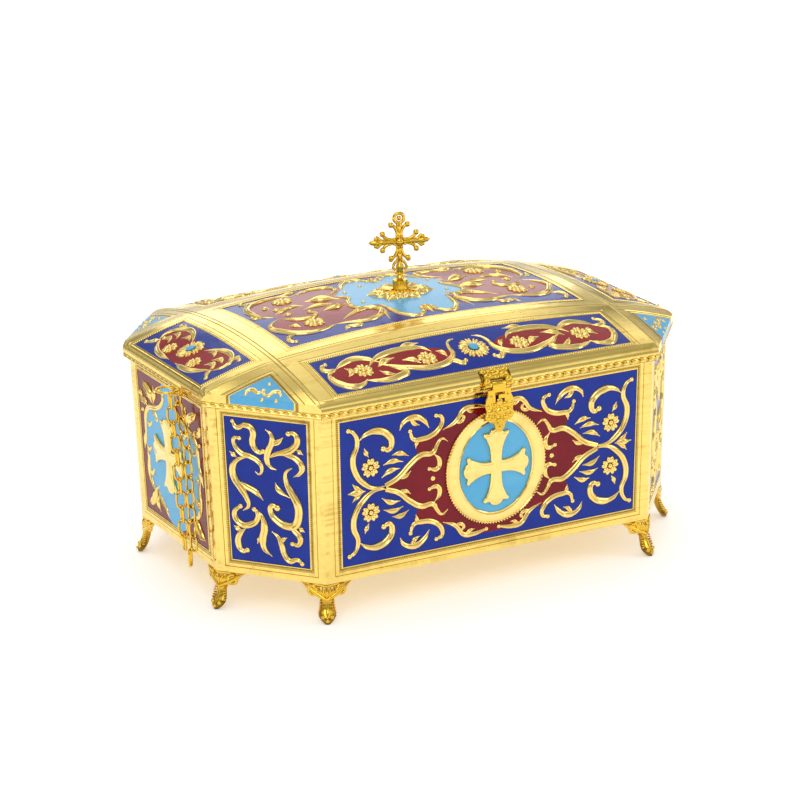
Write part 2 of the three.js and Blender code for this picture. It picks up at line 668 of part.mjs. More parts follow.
function crossArm(stations, direction) {
  const rings = stations.map(([along, half, deep]) => [[half, 0], [0, deep], [-half, 0], [0, -deep]]
    .map(([w, d]) => {
      const across = new THREE.Vector2(-direction.y, direction.x).multiplyScalar(w);
      return new THREE.Vector3(direction.x * along + across.x, d, direction.y * along + across.y);
    }));
  return toSolid(loft(rings));
}

function buildCross() {
  const base = [[0, 0], [5.3, 0], [5.3, 0.7], [4.5, 0.9], [4.5, 7.2], [3.4, 7.8], [0, 7.8]];
  const baseZ = crownZ - sunk + gap;
  place('cross_base', toGeometry(turned(base, 10)), 'casting').position.z = baseZ;

  const arm = [[0, 2, 2.2], [6, 2.4, 2.2], [9.6, 4.2, 1.8], [11, 2.8, 1.6], [14, 3.3, 2], [18.6, 0, 0]];
  const upper = [[0, 2, 2.2], [6, 2.5, 2.2], [10, 4.2, 1.6], [11.5, 2.4, 1.6], [13.4, 1, 1]];
  const lower = [[0, 2, 2.2], [7, 2.5, 2], [10.6, 4.6, 1.6], [12, 1.8, 1.6], [15.9, 3.7, 2], [19, 1.5, 1.5],
    [crossHeart - 7.8 - gap, 2.4, 2.4]];
  const [right, up] = [new THREE.Vector2(1, 0), new THREE.Vector2(0, 1)];
  const ring = new THREE.TorusGeometry(3, 1.2, 3, 7).rotateX(Math.PI / 2);
  const loop = toSolid(ring.translate(0, 0, 13.8));
  const pairs = [[2.2, 10, 5], [2.2, 10, -5], [2, 5, 10.5], [1.9, 5.2, -10.8]];
  const beads = pairs.flatMap(([r, x, z]) => [bead(r, x, 0, z), bead(r, -x, 0, z)]);
  const solid = joinAll([
    crossArm(arm, right), crossArm(arm, right.clone().negate()), crossArm(upper, up),
    crossArm(lower, up.clone().negate()), loop, ball(2.9, 0, -1.4, 0), bead(1.8, 0, 0, 13.8), ...beads,
  ]);
  const mesh = place('cross', toGeometry(solid), 'casting');
  mesh.position.z = baseZ + crossHeart;
  mesh.rotation.z = THREE.MathUtils.degToRad(crossTurn);
}

// ---- hasp: a plate over the lid's border, a swinging strap with a slot, and a staple ----
const haspX = 1;
const haspY = -113.7;
const haspZ = seatZ + 0.3;
const pinRadius = 0.8;
const barrelRadius = 1.6;
const haspHalf = 9;
const knuckle = 4.6;

function borderPoint(angle, off) {
  const edge = halfWidth + lidOut - borderAcross;
  return [
    -(edge + (borderAcross + off) * Math.cos(angle)), seatZ + (borderRise + off) * Math.sin(angle),
  ];
}

function overBorder(thick, from = 24) {
  const angles = [from, 46, 68, 90].map(THREE.MathUtils.degToRad);
  return [
    ...angles.map((angle) => borderPoint(angle, gap)),
    ...angles.reverse().map((angle) => borderPoint(angle, gap + thick)),
  ];
}

function buildHasp() {
  const barrel = (x0, x1) => bar(barrelRadius, haspX + x0, haspX + x1, haspY, haspZ);
  const lug = [
    [haspY - 1.4, haspZ], [haspY + 1.2, haspZ], [haspY + 2, haspZ + 3], [haspY - 0.8, haspZ + 3.6],
  ];
  const plateSides = [[-haspHalf, -knuckle], [knuckle, haspHalf]];
  const lidPart = joinAll([
    sidePlate(overBorder(1.4), haspX - haspHalf, haspX + haspHalf),
    ...plateSides.flatMap(([x0, x1]) => [barrel(x0, x1), sidePlate(lug, haspX + x0, haspX + x1)]),
    bar(pinRadius, haspX - haspHalf, haspX + haspHalf, haspY, haspZ, 6),
  ]);
  place('hasp_plate', toGeometry(lidPart), 'casting');

  const bore = bar(pinRadius + 1.2 * gap, haspX - haspHalf, haspX + haspHalf, haspY, haspZ, 6);
  const back = haspY - 0.1;
  const outline = [[0, -2.4], [7.6, -2.4], [7.8, -8], [9.4, -11.5], [9.4, -18.6], [6.4, -21.8],
    [3.8, -23], [2.8, -26], [0, -28]];
  const half = outline.slice(1, -1).reverse().map(([x, z]) => [-x, z]);
  const at = ([x, z]) => [haspX + x, haspZ + z];
  const slot = [[-2.6, -4.7], [3.4, -4.7], [3.4, -11.2], [-2.6, -11.2]].map(at);
  const strap = facePlate([...outline, ...half].map(at), back, 1.4)
    .subtract(facePlate(slot, back + 1, 4))
    .add(facePlate([[-4.2, 0], [4.2, 0], [4.2, -3], [-4.2, -3]].map(at), back, 1.4))
    .add(barrel(-knuckle + gap, knuckle - gap));
  const boss = flower(0, 0, 7, 4, -0.9).scale([1.1, 1, 1.6]).rotate([90, 0, 0])
    .translate([haspX, back - 1.4, haspZ - 15.4]);
  place('hasp_strap', toGeometry(strap.subtract(bore).add(boss)), 'casting');

  const footPlate = [[-2.2, -4.9], [3, -4.9], [3, -8], [-2.2, -8]].map(at);
  const tongue = [[-1.6, -5.3], [2.4, -5.3], [2.4, -7.6], [-1.6, -7.6]].map(at);
  const wallY = -halfWidth - gap;
  const staple = facePlate(footPlate, wallY, 1).add(facePlate(tongue, wallY, 8.6));
  place('hasp_staple', toGeometry(staple), 'casting');
}

// ---- two hinges behind the lid ----
const hingeX = 62;
const hingeY = halfWidth + lidOut + 3;
const hingeZ = seatZ - 0.2;
const hingeHalf = 12;
const hingeKnuckle = 4.5;
const hingeBarrel = 1.9;

function hingeLeaf(x) {
  const inner = halfWidth + rimOut + gap;
  const leaf = [
    [inner, rimZ + 0.2], [inner + 1.4, rimZ - 0.2], [hingeY + 1.4, hingeZ - 1],
    [hingeY - 0.6, hingeZ - 0.4], [inner, rimZ + 3],
  ];
  const strip = [
    [inner, rimZ + 0.2], [inner + 1.2, rimZ - 0.2], [inner + 1.2, rimZ + 0.8], [inner, rimZ + 1.4],
  ];
  const sides = [[-hingeHalf, -hingeKnuckle], [hingeKnuckle, hingeHalf]];
  return joinAll([
    ...sides.map(([x0, x1]) => bar(hingeBarrel, x + x0, x + x1, hingeY, hingeZ)),
    ...sides.map(([x0, x1]) => sidePlate(leaf, x + x0, x + x1)),
    sidePlate(strip, x - hingeHalf, x + hingeHalf),
    bar(pinRadius, x - hingeHalf, x + hingeHalf, hingeY, hingeZ, 6),
  ]);
}

function hingeStrap(x) {
  const clasp = overBorder(1.4).map(([y, z]) => [-y, z]).reverse();
  const tongue = [
    [hingeY - 1.2, hingeZ], [hingeY + 1.4, hingeZ], [hingeY, hingeZ + 4], [hingeY - 2.8, hingeZ + 3.6],
  ];
  const [x0, x1] = [x - hingeKnuckle + gap, x + hingeKnuckle - gap];
  const bore = bar(pinRadius + 1.2 * gap, x - hingeHalf, x + hingeHalf, hingeY, hingeZ, 6);
  return joinAll([
    bar(hingeBarrel, x0, x1, hingeY, hingeZ), sidePlate(clasp, x0, x1), sidePlate(tongue, x0, x1),
  ]).subtract(bore);
}

function buildHinges() {
  for (const [side, x] of [['left', -hingeX], ['right', hingeX]]) {
    place(`hinge_leaf_${side}`, toGeometry(hingeLeaf(x)), 'casting');
    place(`hinge_strap_${side}`, toGeometry(hingeStrap(x)), 'casting');
  }
}

// ---- eyes, ring and chain ----
const eye = new THREE.Vector3(halfLength + 8.5, -31.1, rimZ + 4);
const eyeRadius = 2.2;
const wire = 0.75;

function buildEye(name, side) {
  const wallX = halfLength + rimOut + gap;
  const loop = toSolid(new THREE.TorusGeometry(eyeRadius, 0.65, 4, 7).rotateX(Math.PI / 2)
    .rotateZ((side * Math.PI) / 3).translate(side * eye.x, eye.y, eye.z));
  const x = [wallX, eye.x + 0.4].map((v) => side * v).sort((a, b) => a - b);
  const stub = bar(0.9, x[0], x[1], eye.y, eye.z - eyeRadius, 6);
  place(name, toGeometry(loop.add(stub)), 'casting');
}

// One oval link standing along the chain, turned about it.
function chainLink(from, to, turn) {
  const along = to.clone().sub(from).normalize();
  const side = new THREE.Vector3(Math.cos(turn), Math.sin(turn), 0);
  side.addScaledVector(along, -side.dot(along)).normalize();
  const through = new THREE.Vector3().crossVectors(along, side);
  const middle = from.clone().add(to).multiplyScalar(0.5);
  const outline = [[2, 4.8], [-2, 4.8], [-2, -4.8], [2, -4.8]];
  const rings = outline.map(([w, l]) => {
    const spot = middle.clone().addScaledVector(side, w).addScaledVector(along, l);
    const outward = side.clone().multiplyScalar(w).addScaledVector(along, l * 0.6).normalize();
    return [0, 1, 2].map((k) => {
      const angle = (k * 2 * Math.PI) / 3 + Math.PI;
      return spot.clone().addScaledVector(outward, wire * 1.15 * Math.cos(angle))
        .addScaledVector(through, wire * 1.15 * Math.sin(angle));
    });
  });
  return toSolid(loft(rings, true));
}

function chainStrand(path, count, turn) {
  const curve = new THREE.CatmullRomCurve3(path.map((p) => new THREE.Vector3(...p)));
  const links = [];
  for (let i = 0; i < count; i++) {
    const [from, to] = [curve.getPointAt(i / count), curve.getPointAt((i + 1) / count)];
    links.push(chainLink(from, to, turn + (i % 2) * (Math.PI / 2)));
  }
  return links;
}

// The chain is doubled: both ends hang on the ring and one link joins them at the bottom.
function buildChain() {
  const hoop = new THREE.TorusGeometry(6.1, wire, 4, 12);
  const ring = toSolid(hoop.translate(-eye.x - 3.1, eye.y + 5.2, eye.z));
  const top = eye.z - 0.3;
  const outer = [[-162.6, -31.9, top], [-159.5, -32.6, 80], [-157.8, -33.6, 31]];
  const inner = [[-155.6, -25.4, top], [-155.3, -26.6, 112], [-154.1, -33, 92], [-154, -37.4, 31]];
  const joint = [[-155.9, -35.6, 32], [-155.7, -35.8, 20]];
  const links = [
    ...chainStrand(outer, 11, 1.4), ...chainStrand(inner, 11, 1.9), ...chainStrand(joint, 1, 0.9),
  ];
  place('carrying_chain', toGeometry(joinAll([ring, ...links])), 'casting');
}

buildBox();
buildRim();
buildFeet();
buildLid();
buildCross();
buildHasp();
buildHinges();
buildEye('chain_eye_left', -1);
buildEye('chain_eye_right', 1);
buildChain();

casket.position.copy(boxOffset);
const reliquary = new THREE.Group();
reliquary.add(casket);

export default reliquary;
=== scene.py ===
import math

import bmesh
import bpy
from mathutils import Matrix, Vector


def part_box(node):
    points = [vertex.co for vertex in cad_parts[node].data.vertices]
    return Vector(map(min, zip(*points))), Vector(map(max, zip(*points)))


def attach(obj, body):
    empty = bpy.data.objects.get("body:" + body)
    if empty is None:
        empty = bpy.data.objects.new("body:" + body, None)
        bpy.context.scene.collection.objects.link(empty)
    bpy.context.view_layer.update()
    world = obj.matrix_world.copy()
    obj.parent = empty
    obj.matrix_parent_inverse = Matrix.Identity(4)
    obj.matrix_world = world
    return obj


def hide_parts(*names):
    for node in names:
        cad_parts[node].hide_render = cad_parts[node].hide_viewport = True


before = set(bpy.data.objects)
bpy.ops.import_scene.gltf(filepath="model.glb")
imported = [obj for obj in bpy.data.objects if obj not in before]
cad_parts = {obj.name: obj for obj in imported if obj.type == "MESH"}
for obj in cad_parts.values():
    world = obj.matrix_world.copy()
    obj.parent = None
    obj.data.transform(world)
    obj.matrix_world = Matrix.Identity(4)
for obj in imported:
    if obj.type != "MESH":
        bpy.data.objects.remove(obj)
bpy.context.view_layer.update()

# Pieces are laid out in millimetres about the middle of the box and then brought into the frame.
boxLow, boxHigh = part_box("casket_body")
lidLow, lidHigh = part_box("lid_shell")
middle = (boxLow + boxHigh) / 2
toFrame = Matrix.Translation((middle.x, middle.y, 0)) @ Matrix.Scale(0.001, 4)

casket = {
    "cutAlong": 44, "cutAcross": 53.7,  # corner cut along X and along Y
    "lean": 0.029,  # walls draw in towards the foot
    "wall": 2.6, "floor": 2.2,
    "rimGap": 0.3, "rimHeight": 3.9, "rimOut": 3.2,
    "ground": -0.2,  # enamel below the face of its frame
}
footZ = boxLow.z * 1000
rimTopZ = boxHigh.z * 1000
rimZ = rimTopZ - casket["rimHeight"]
topZ = rimZ - casket["rimGap"]
seatZ = lidLow.z * 1000
halfLength = (boxHigh.x - boxLow.x) * 500 - casket["lean"] * (rimTopZ - topZ)
halfWidth = (boxHigh.y - boxLow.y) * 500 - casket["lean"] * (rimTopZ - topZ)
lidX = (lidHigh.x - lidLow.x) * 500
lidY = (lidHigh.y - lidLow.y) * 500
slant = (topZ - footZ) * math.hypot(1, casket["lean"])


def plan(out):
    # eight corners of the plan, moved outwards
    x = halfLength + out
    y = halfWidth + out
    normal = Vector((casket["cutAcross"], casket["cutAlong"])).normalized()
    reach = normal.x * halfLength + normal.y * (halfWidth - casket["cutAcross"]) + out
    cornerY = (reach - normal.x * x) / normal.y
    cornerX = (reach - normal.y * y) / normal.x
    right = [(x, -cornerY), (x, cornerY), (cornerX, y), (-cornerX, y)]
    return [Vector(p) for p in right] + [-Vector(p) for p in right]


def drawnIn(z):
    return -casket["lean"] * (topZ - z)


# Materials

def newGroup(name, inputs, outputs):
    group = bpy.data.node_groups.new(name, "ShaderNodeTree")
    for label, kind, value in inputs:
        socket = group.interface.new_socket(name=label, in_out="INPUT", socket_type=kind)
        if value is not None:
            socket.default_value = value
    for label, kind in outputs:
        group.interface.new_socket(name=label, in_out="OUTPUT", socket_type=kind)
    return group, group.nodes.new("NodeGroupInput"), group.nodes.new("NodeGroupOutput")


def mathNode(tree, operation, a, b=None, clamp=False):
    node = tree.nodes.new("ShaderNodeMath")
    node.operation = operation
    node.use_clamp = clamp
    for socket, value in zip(node.inputs, (a, b)):
        if isinstance(value, bpy.types.NodeSocket):
            tree.links.new(value, socket)
        elif value is not None:
            socket.default_value = value
    return node.outputs[0]


def spread(tree, value, low, high):
    # a soft mask from a value's range
    node = tree.nodes.new("ShaderNodeMapRange")
    node.interpolation_type = "SMOOTHSTEP"
    tree.links.new(value, node.inputs["Value"])
    node.inputs["From Min"].default_value = low
    node.inputs["From Max"].default_value = high
    return node.outputs["Result"]


def noise(tree, vector, scale, detail, stretch=None, roughness=0.55):
    if stretch:
        mapping = tree.nodes.new("ShaderNodeMapping")
        mapping.inputs["Scale"].default_value = stretch
        tree.links.new(vector, mapping.inputs["Vector"])
        vector = mapping.outputs["Vector"]
    node = tree.nodes.new("ShaderNodeTexNoise")
    node.inputs["Scale"].default_value = scale
    node.inputs["Detail"].default_value = detail
    node.inputs["Roughness"].default_value = roughness
    tree.links.new(vector, node.inputs["Vector"])
    return node.outputs["Fac"]


def buildHandling():
    # streaks, blotches, specks and the slow waves of beaten sheet
    group, given, made = newGroup(
        "handling", [("Vector", "NodeSocketVector", None)],
        [(label, "NodeSocketFloat") for label in ("Streaks", "Blotches", "Specks", "Waves")])
    vector = given.outputs["Vector"]
    along = noise(group, vector, 26, 5, (1, 9, 14))
    upright = noise(group, vector, 24, 4, (9, 9, 1))
    streaks = mathNode(group, "MULTIPLY", spread(group, along, 0.46, 0.72), spread(group, upright, 0.3, 0.7))
    blotches = spread(group, noise(group, vector, 34, 6, None, 0.7), 0.5, 0.74)
    flecks = group.nodes.new("ShaderNodeTexVoronoi")
    flecks.inputs["Scale"].default_value = 420
    flecks.inputs["Randomness"].default_value = 1
    group.links.new(vector, flecks.inputs["Vector"])
    near = mathNode(group, "SUBTRACT", 1, spread(group, flecks.outputs["Distance"], 0.05, 0.2))
    patches = spread(group, noise(group, vector, 60, 3), 0.56, 0.7)
    waves = noise(group, vector, 30, 3, None, 0.45)
    group.links.new(streaks, made.inputs["Streaks"])
    group.links.new(blotches, made.inputs["Blotches"])
    group.links.new(mathNode(group, "MULTIPLY", near, patches), made.inputs["Specks"])
    group.links.new(waves, made.inputs["Waves"])
    return group


def buildCreaseShade():
    # painted shade: the hollows and creases of the metal, found from pointiness, are painted dark
    group, given, made = newGroup(
        "creaseShade", [("Deep", "NodeSocketFloat", 0.42), ("Shallow", "NodeSocketFloat", 0.495)],
        [("PaintedShade", "NodeSocketFloat")])
    shape = group.nodes.new("ShaderNodeNewGeometry")
    hollow = group.nodes.new("ShaderNodeMapRange")
    group.links.new(shape.outputs["Pointiness"], hollow.inputs["Value"])
    group.links.new(given.outputs["Deep"], hollow.inputs["From Min"])
    group.links.new(given.outputs["Shallow"], hollow.inputs["From Max"])
    group.links.new(mathNode(group, "SUBTRACT", 1, hollow.outputs["Result"]), made.inputs["PaintedShade"])
    return group


handling = buildHandling()
creaseShade = buildCreaseShade()


def startMaterial(name):
    material = bpy.data.materials.new(name)
    material.use_nodes = True
    tree = material.node_tree
    return material, tree, tree.nodes["Principled BSDF"]


def placeGroup(tree, group, **values):
    node = tree.nodes.new("ShaderNodeGroup")
    node.node_tree = group
    for label, value in values.items():
        node.inputs[label].default_value = value
    return node


def blend(tree, mask, first, second, mode="MIX"):
    node = tree.nodes.new("ShaderNodeMix")
    node.data_type = "RGBA"
    node.blend_type = mode
    if isinstance(mask, bpy.types.NodeSocket):
        tree.links.new(mask, node.inputs["Factor"])
    else:
        node.inputs["Factor"].default_value = mask
    for label, value in (("A", first), ("B", second)):
        socket = [s for s in node.inputs if s.name == label and s.type == "RGBA"][0]
        if isinstance(value, bpy.types.NodeSocket):
            tree.links.new(value, socket)
        else:
            socket.default_value = (*value, 1)
    return [s for s in node.outputs if s.type == "RGBA"][0]


# dirt is the colour of the dirt specks and also of the painted shade in the creases; hollow sets how strongly
# the creases are painted dark
golds = {
    "giltSheet": {
        "bright": (0.93, 0.7, 0.2), "deep": (0.6, 0.38, 0.07), "dirt": (0.1, 0.07, 0.015),
        "roughness": (0.14, 0.3), "streaks": 0.75, "blotches": 0.35, "specks": 0.8, "waves": 0.22,
        "hollow": 0.75,
    },
    "giltRelief": {
        "bright": (0.96, 0.72, 0.24), "deep": (0.7, 0.43, 0.09), "dirt": (0.1, 0.055, 0.01),
        "roughness": (0.13, 0.26), "streaks": 0.25, "blotches": 0.4, "specks": 0.5, "waves": 0.3,
        "hollow": 0.8,
    },
    "giltCasting": {
        "bright": (0.82, 0.52, 0.06), "deep": (0.5, 0.26, 0.02), "dirt": (0.07, 0.03, 0.004),
        "roughness": (0.12, 0.26), "streaks": 0.15, "blotches": 0.6, "specks": 0.6, "waves": 0.3,
        "hollow": 0.9,
    },
    # a darker copy of the gilt: painted shade in the strip behind the laurel leaves, also laid in the
    # channels under the rows of beads
    "giltDark": {
        "bright": (0.4, 0.25, 0.05), "deep": (0.16, 0.09, 0.015), "dirt": (0.04, 0.02, 0.004),
        "roughness": (0.3, 0.5), "streaks": 0.5, "blotches": 0.7, "specks": 0.9, "waves": 0.5, "hollow": 0.9,
    },
}


def goldMaterial(name):
    look = golds[name]
    material, tree, shader = startMaterial(name)
    place = tree.nodes.new("ShaderNodeTexCoord").outputs["Object"]
    marks = placeGroup(tree, handling)
    tree.links.new(place, marks.inputs["Vector"])
    shadeNode = placeGroup(tree, creaseShade)
    streaks = mathNode(tree, "MULTIPLY", marks.outputs["Streaks"], look["streaks"])
    blotches = mathNode(tree, "MULTIPLY", marks.outputs["Blotches"], look["blotches"])
    tone = mathNode(tree, "ADD", streaks, blotches, True)
    colour = blend(tree, tone, look["bright"], look["deep"])
    specks = mathNode(tree, "MULTIPLY", marks.outputs["Specks"], look["specks"])
    # painted shade: the creases are painted towards the dark colour, together with the dirt specks
    hollow = mathNode(tree, "MULTIPLY", shadeNode.outputs["PaintedShade"], look["hollow"])
    colour = blend(tree, mathNode(tree, "MAXIMUM", specks, hollow), colour, look["dirt"])
    tree.links.new(colour, shader.inputs["Base Color"])
    shader.inputs["Metallic"].default_value = 1
    rough = tree.nodes.new("ShaderNodeMapRange")
    rough.inputs["To Min"].default_value = look["roughness"][0]
    rough.inputs["To Max"].default_value = look["roughness"][1]
    tree.links.new(tone, rough.inputs["Value"])
    tree.links.new(rough.outputs["Result"], shader.inputs["Roughness"])
    bump = tree.nodes.new("ShaderNodeBump")
    bump.inputs["Strength"].default_value = look["waves"]
    bump.inputs["Distance"].default_value = 0.0012
    height = mathNode(tree, "SUBTRACT", marks.outputs["Waves"], mathNode(tree, "MULTIPLY", specks, 0.3))
    tree.links.new(height, bump.inputs["Height"])
    tree.links.new(bump.outputs["Normal"], shader.inputs["Normal"])
    return material


enamels = {
    "enamelBlue": {"colour": (0.002, 0.02, 0.26), "thin": (0.004, 0.05, 0.42), "roughness": 0.2},
    "enamelRed": {"colour": (0.17, 0.0, 0.006), "thin": (0.32, 0.001, 0.01), "roughness": 0.2},
    "enamelSky": {"colour": (0.1, 0.42, 0.7), "thin": (0.2, 0.6, 0.85), "roughness": 0.22},
    "enamelCherry": {"colour": (0.26, 0.001, 0.003), "thin": (0.5, 0.012, 0.008), "roughness": 0.2},
}


def enamelMaterial(name):
    # glassy colour, thinner and lighter where it pools less
    look = enamels[name]
    material, tree, shader = startMaterial(name)
    place = tree.nodes.new("ShaderNodeTexCoord").outputs["Object"]
    pool = spread(tree, noise(tree, place, 45, 3), 0.35, 0.8)
    grains = spread(tree, noise(tree, place, 900, 2), 0.55, 0.8)
    tone = mathNode(tree, "ADD", mathNode(tree, "MULTIPLY", pool, 0.3), mathNode(tree, "MULTIPLY", grains,
                                                                                 0.12))
    tree.links.new(blend(tree, tone, look["colour"], look["thin"]), shader.inputs["Base Color"])
    shader.inputs["Roughness"].default_value = look["roughness"]
    shader.inputs["Specular IOR Level"].default_value = 0.22
    shader.inputs["Coat Weight"].default_value = 0.12
    shader.inputs["Coat Roughness"].default_value = 0.06
    bump = tree.nodes.new("ShaderNodeBump")
    bump.inputs["Strength"].default_value = 0.35
    bump.inputs["Distance"].default_value = 0.0006
    tree.links.new(noise(tree, place, 110, 3), bump.inputs["Height"])
    tree.links.new(bump.outputs["Normal"], shader.inputs["Normal"])
    return material


finishes = {name: goldMaterial(name) for name in golds}
finishes.update({name: enamelMaterial(name) for name in enamels})
print("materials ready")


# Making pieces

def addPiece(bm, name, body, looks, replaces=(), sharp=38):
    bmesh.ops.remove_doubles(bm, verts=bm.verts, dist=0.004)
    bmesh.ops.transform(bm, matrix=toFrame, verts=bm.verts)
    mesh = bpy.data.meshes.new(name)
    bm.to_mesh(mesh)
    bm.free()
    for look in looks:
        mesh.materials.append(finishes[look])
    mesh.polygons.foreach_set("use_smooth", [True] * len(mesh.polygons))
    mesh.set_sharp_from_angle(angle=math.radians(sharp))
    piece = bpy.data.objects.new(name, mesh)
    bpy.context.scene.collection.objects.link(piece)
    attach(piece, body)
    if replaces:
        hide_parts(*replaces)
    print(f"{name}: {len(mesh.loop_triangles) or len(mesh.polygons)} faces")
    return piece


def merge(bm, part, matrix=None, material=None):
    if matrix is not None:
        bmesh.ops.transform(part, matrix=matrix, verts=part.verts)
    if material is not None:
        for face in part.faces:
            face.material_index = material
    mesh = bpy.data.meshes.new("part")
    part.to_mesh(mesh)
    part.free()
    bm.from_mesh(mesh)
    bpy.data.meshes.remove(mesh)


def scroll(width, ends, *path):
    # ends are "tip", "ball" or "broad", first and last
    return {"width": width, "ends": ends.split(), "path": list(path)}


def mirrored(strokes, sx, sy):
    return [{**s, "path": [(sx * x, sy * y) for x, y in s["path"]]} for s in strokes]


def bothSides(strokes):
    return strokes + mirrored(strokes, -1, 1)


def fourWays(strokes):
    return bothSides(strokes) + mirrored(bothSides(strokes), 1, -1)


def moved(strokes, dx, dy):
    return [{**s, "path": [(x + dx, y + dy) for x, y in s["path"]]} for s in strokes]


endWidths = {"tip": 0.12, "ball": 0.5, "broad": 0.85}
creased = [(-0.66, -0.16), (-0.64, 0.1), (-0.5, 0.34), (-0.2, 0.42), (0, 0.27),
           (0.2, 0.42), (0.5, 0.34), (0.64, 0.1), (0.66, -0.16)]


def taper(stroke):
    # width at each point of the path, drawn in towards both ends
    path = [Vector(p) for p in stroke["path"]]
    steps = [(b - a).length for a, b in zip(path, path[1:])]
    total = sum(steps)
    widths = []
    for index in range(len(path)):
        done = sum(steps[:index]) / total
        start, end = (endWidths[kind] for kind in stroke["ends"])
        rise = min(1, start + (1 - start) * (done / 0.34) ** 0.8)
        fall = min(1, end + (1 - end) * ((1 - done) / 0.34) ** 0.8)
        widths.append(stroke["width"] * min(rise, fall))
    return widths


def addSpline(curve, path, widths, closed=False, corners=()):
    spline = curve.splines.new("BEZIER")
    spline.bezier_points.add(len(path) - 1)
    spline.use_cyclic_u = closed
    spline.radius_interpolation = "EASE"
    for index, (point, place, width) in enumerate(zip(spline.bezier_points, path, widths)):
        point.co = (*place, 0)[:3]
        kind = "VECTOR" if index in corners else "AUTO"
        point.handle_left_type = point.handle_right_type = kind
        point.radius = width


def meshOf(curve):
    holder = bpy.data.objects.new("holder", curve)
    bpy.context.scene.collection.objects.link(holder)
    bpy.context.view_layer.update()
    mesh = bpy.data.meshes.new_from_object(holder.evaluated_get(bpy.context.evaluated_depsgraph_get()))
    bm = bmesh.new()
    bm.from_mesh(mesh)
    bpy.data.objects.remove(holder)
    bpy.data.curves.remove(curve)
    bpy.data.meshes.remove(mesh)
    bmesh.ops.remove_doubles(bm, verts=bm.verts, dist=0.002)
    bmesh.ops.recalc_face_normals(bm, faces=bm.faces)
    return bm


def sectionObject(outline):
    section = bpy.data.curves.new("section", "CURVE")
    section.dimensions = "2D"
    edge = section.splines.new("POLY")
    edge.points.add(len(outline) - 1)
    for point, (x, z) in zip(edge.points, outline):
        point.co = (x, z, 0, 1)
    edge.use_cyclic_u = True
    return bpy.data.objects.new("section", section)


def sweep(strokes, outline=creased, closed=False, steps=5):
    curve = bpy.data.curves.new("sweep", "CURVE")
    curve.dimensions = "2D"
    curve.fill_mode = "NONE"
    curve.resolution_u = steps
    curve.bevel_mode = "OBJECT"
    curve.bevel_object = sectionObject(outline)
    curve.use_fill_caps = not closed
    for stroke in strokes:
        widths = stroke.get("widths") or taper(stroke)
        addSpline(curve, stroke["path"], widths, closed)
    return meshOf(curve)


def lump(bm, centre, radii, turn=0.0, sides=8, rings=6):
    matrix = Matrix.Translation(centre) @ Matrix.Rotation(turn, 4, "Z") @ Matrix.Diagonal((*radii, 1))
    return bmesh.ops.create_uvsphere(bm, u_segments=sides, v_segments=rings, radius=1, matrix=matrix)["verts"]


def addFlower(bm, x, y, radius, petals=5, turn=0.3, height=1.0):
    for index in range(petals):
        angle = turn + index * 2 * math.pi / petals
        for side in (-0.5, 0.5):
            part = angle + side * 0.8 * math.pi / petals
            spot = (x + 0.66 * radius * math.cos(part), y + 0.66 * radius * math.sin(part), 0.1)
            lump(bm, spot, (0.4 * radius, 1.3 * radius / petals, 1.3 * height), part)
    lump(bm, (x, y, 0.5 * height), (0.27 * radius, 0.27 * radius, 1.2 * height))


def reliefMesh(strokes, flowers=(), pellets=()):
    bm = sweep(strokes)
    for stroke in strokes:
        for kind, spot, width in ((stroke["ends"][0], stroke["path"][0], stroke["width"]),
                                  (stroke["ends"][1], stroke["path"][-1], stroke["width"])):
            if kind == "ball":
                lump(bm, (*spot, 0.05), (0.56 * width, 0.56 * width, 0.4 * width))
    for x, y, radius, petals in flowers:
        addFlower(bm, x, y, radius, petals)
    for x, y, radius in pellets:
        lump(bm, (x, y, 0), (radius, radius, 0.8 * radius))
    return bm


def field(outline, corners=(), steps=6):
    # a flat sheet of colour inside an outline
    curve = bpy.data.curves.new("field", "CURVE")
    curve.dimensions = "2D"
    curve.fill_mode = "FRONT"
    curve.resolution_u = steps
    addSpline(curve, outline, [1] * len(outline), True, corners)
    bm = meshOf(curve)
    faceUp(bm)
    return bm


def faceUp(bm):
    for face in bm.faces:
        if face.normal.z < 0:
            face.normal_flip()


def cutPlate(outlines, thick, edge=0.25, steps=6, corners=()):
    # a plate with its back at zero, cut to outlines; the second one is a hole
    curve = bpy.data.curves.new("plate", "CURVE")
    curve.dimensions = "2D"
    curve.fill_mode = "BOTH"
    curve.resolution_u = steps
    curve.extrude = thick / 2 - edge
    curve.bevel_depth = edge
    curve.bevel_resolution = 1
    curve.offset = -edge
    for outline, sharp in zip(outlines, corners or [()] * len(outlines)):
        addSpline(curve, outline, [1] * len(outline), True, sharp)
    bm = meshOf(curve)
    bmesh.ops.translate(bm, vec=(0, 0, thick / 2), verts=bm.verts)
    return bm


def ellipse(rx, ry, count, cx=0.0, cy=0.0):
    angles = [index * 2 * math.pi / count for index in range(count)]
    return [(cx + rx * math.cos(a), cy + ry * math.sin(a)) for a in angles]


# Walls

wallNames = ["rightEnd", "backRight", "back", "backLeft", "leftEnd", "frontLeft", "front", "frontRight"]
panelMargins = {
    "front": {"side": 10.5, "top": 3.6, "foot": 8.4},
    "corner": {"side": 9.8, "top": 3.8, "foot": 8.3},
    "end": {"side": 10.2, "top": 3.6, "foot": 8.6},
}


def marginsOf(wall):
    kind = "front" if wall in ("front", "back") else "end" if wall in ("leftEnd", "rightEnd") else "corner"
    return panelMargins[kind]


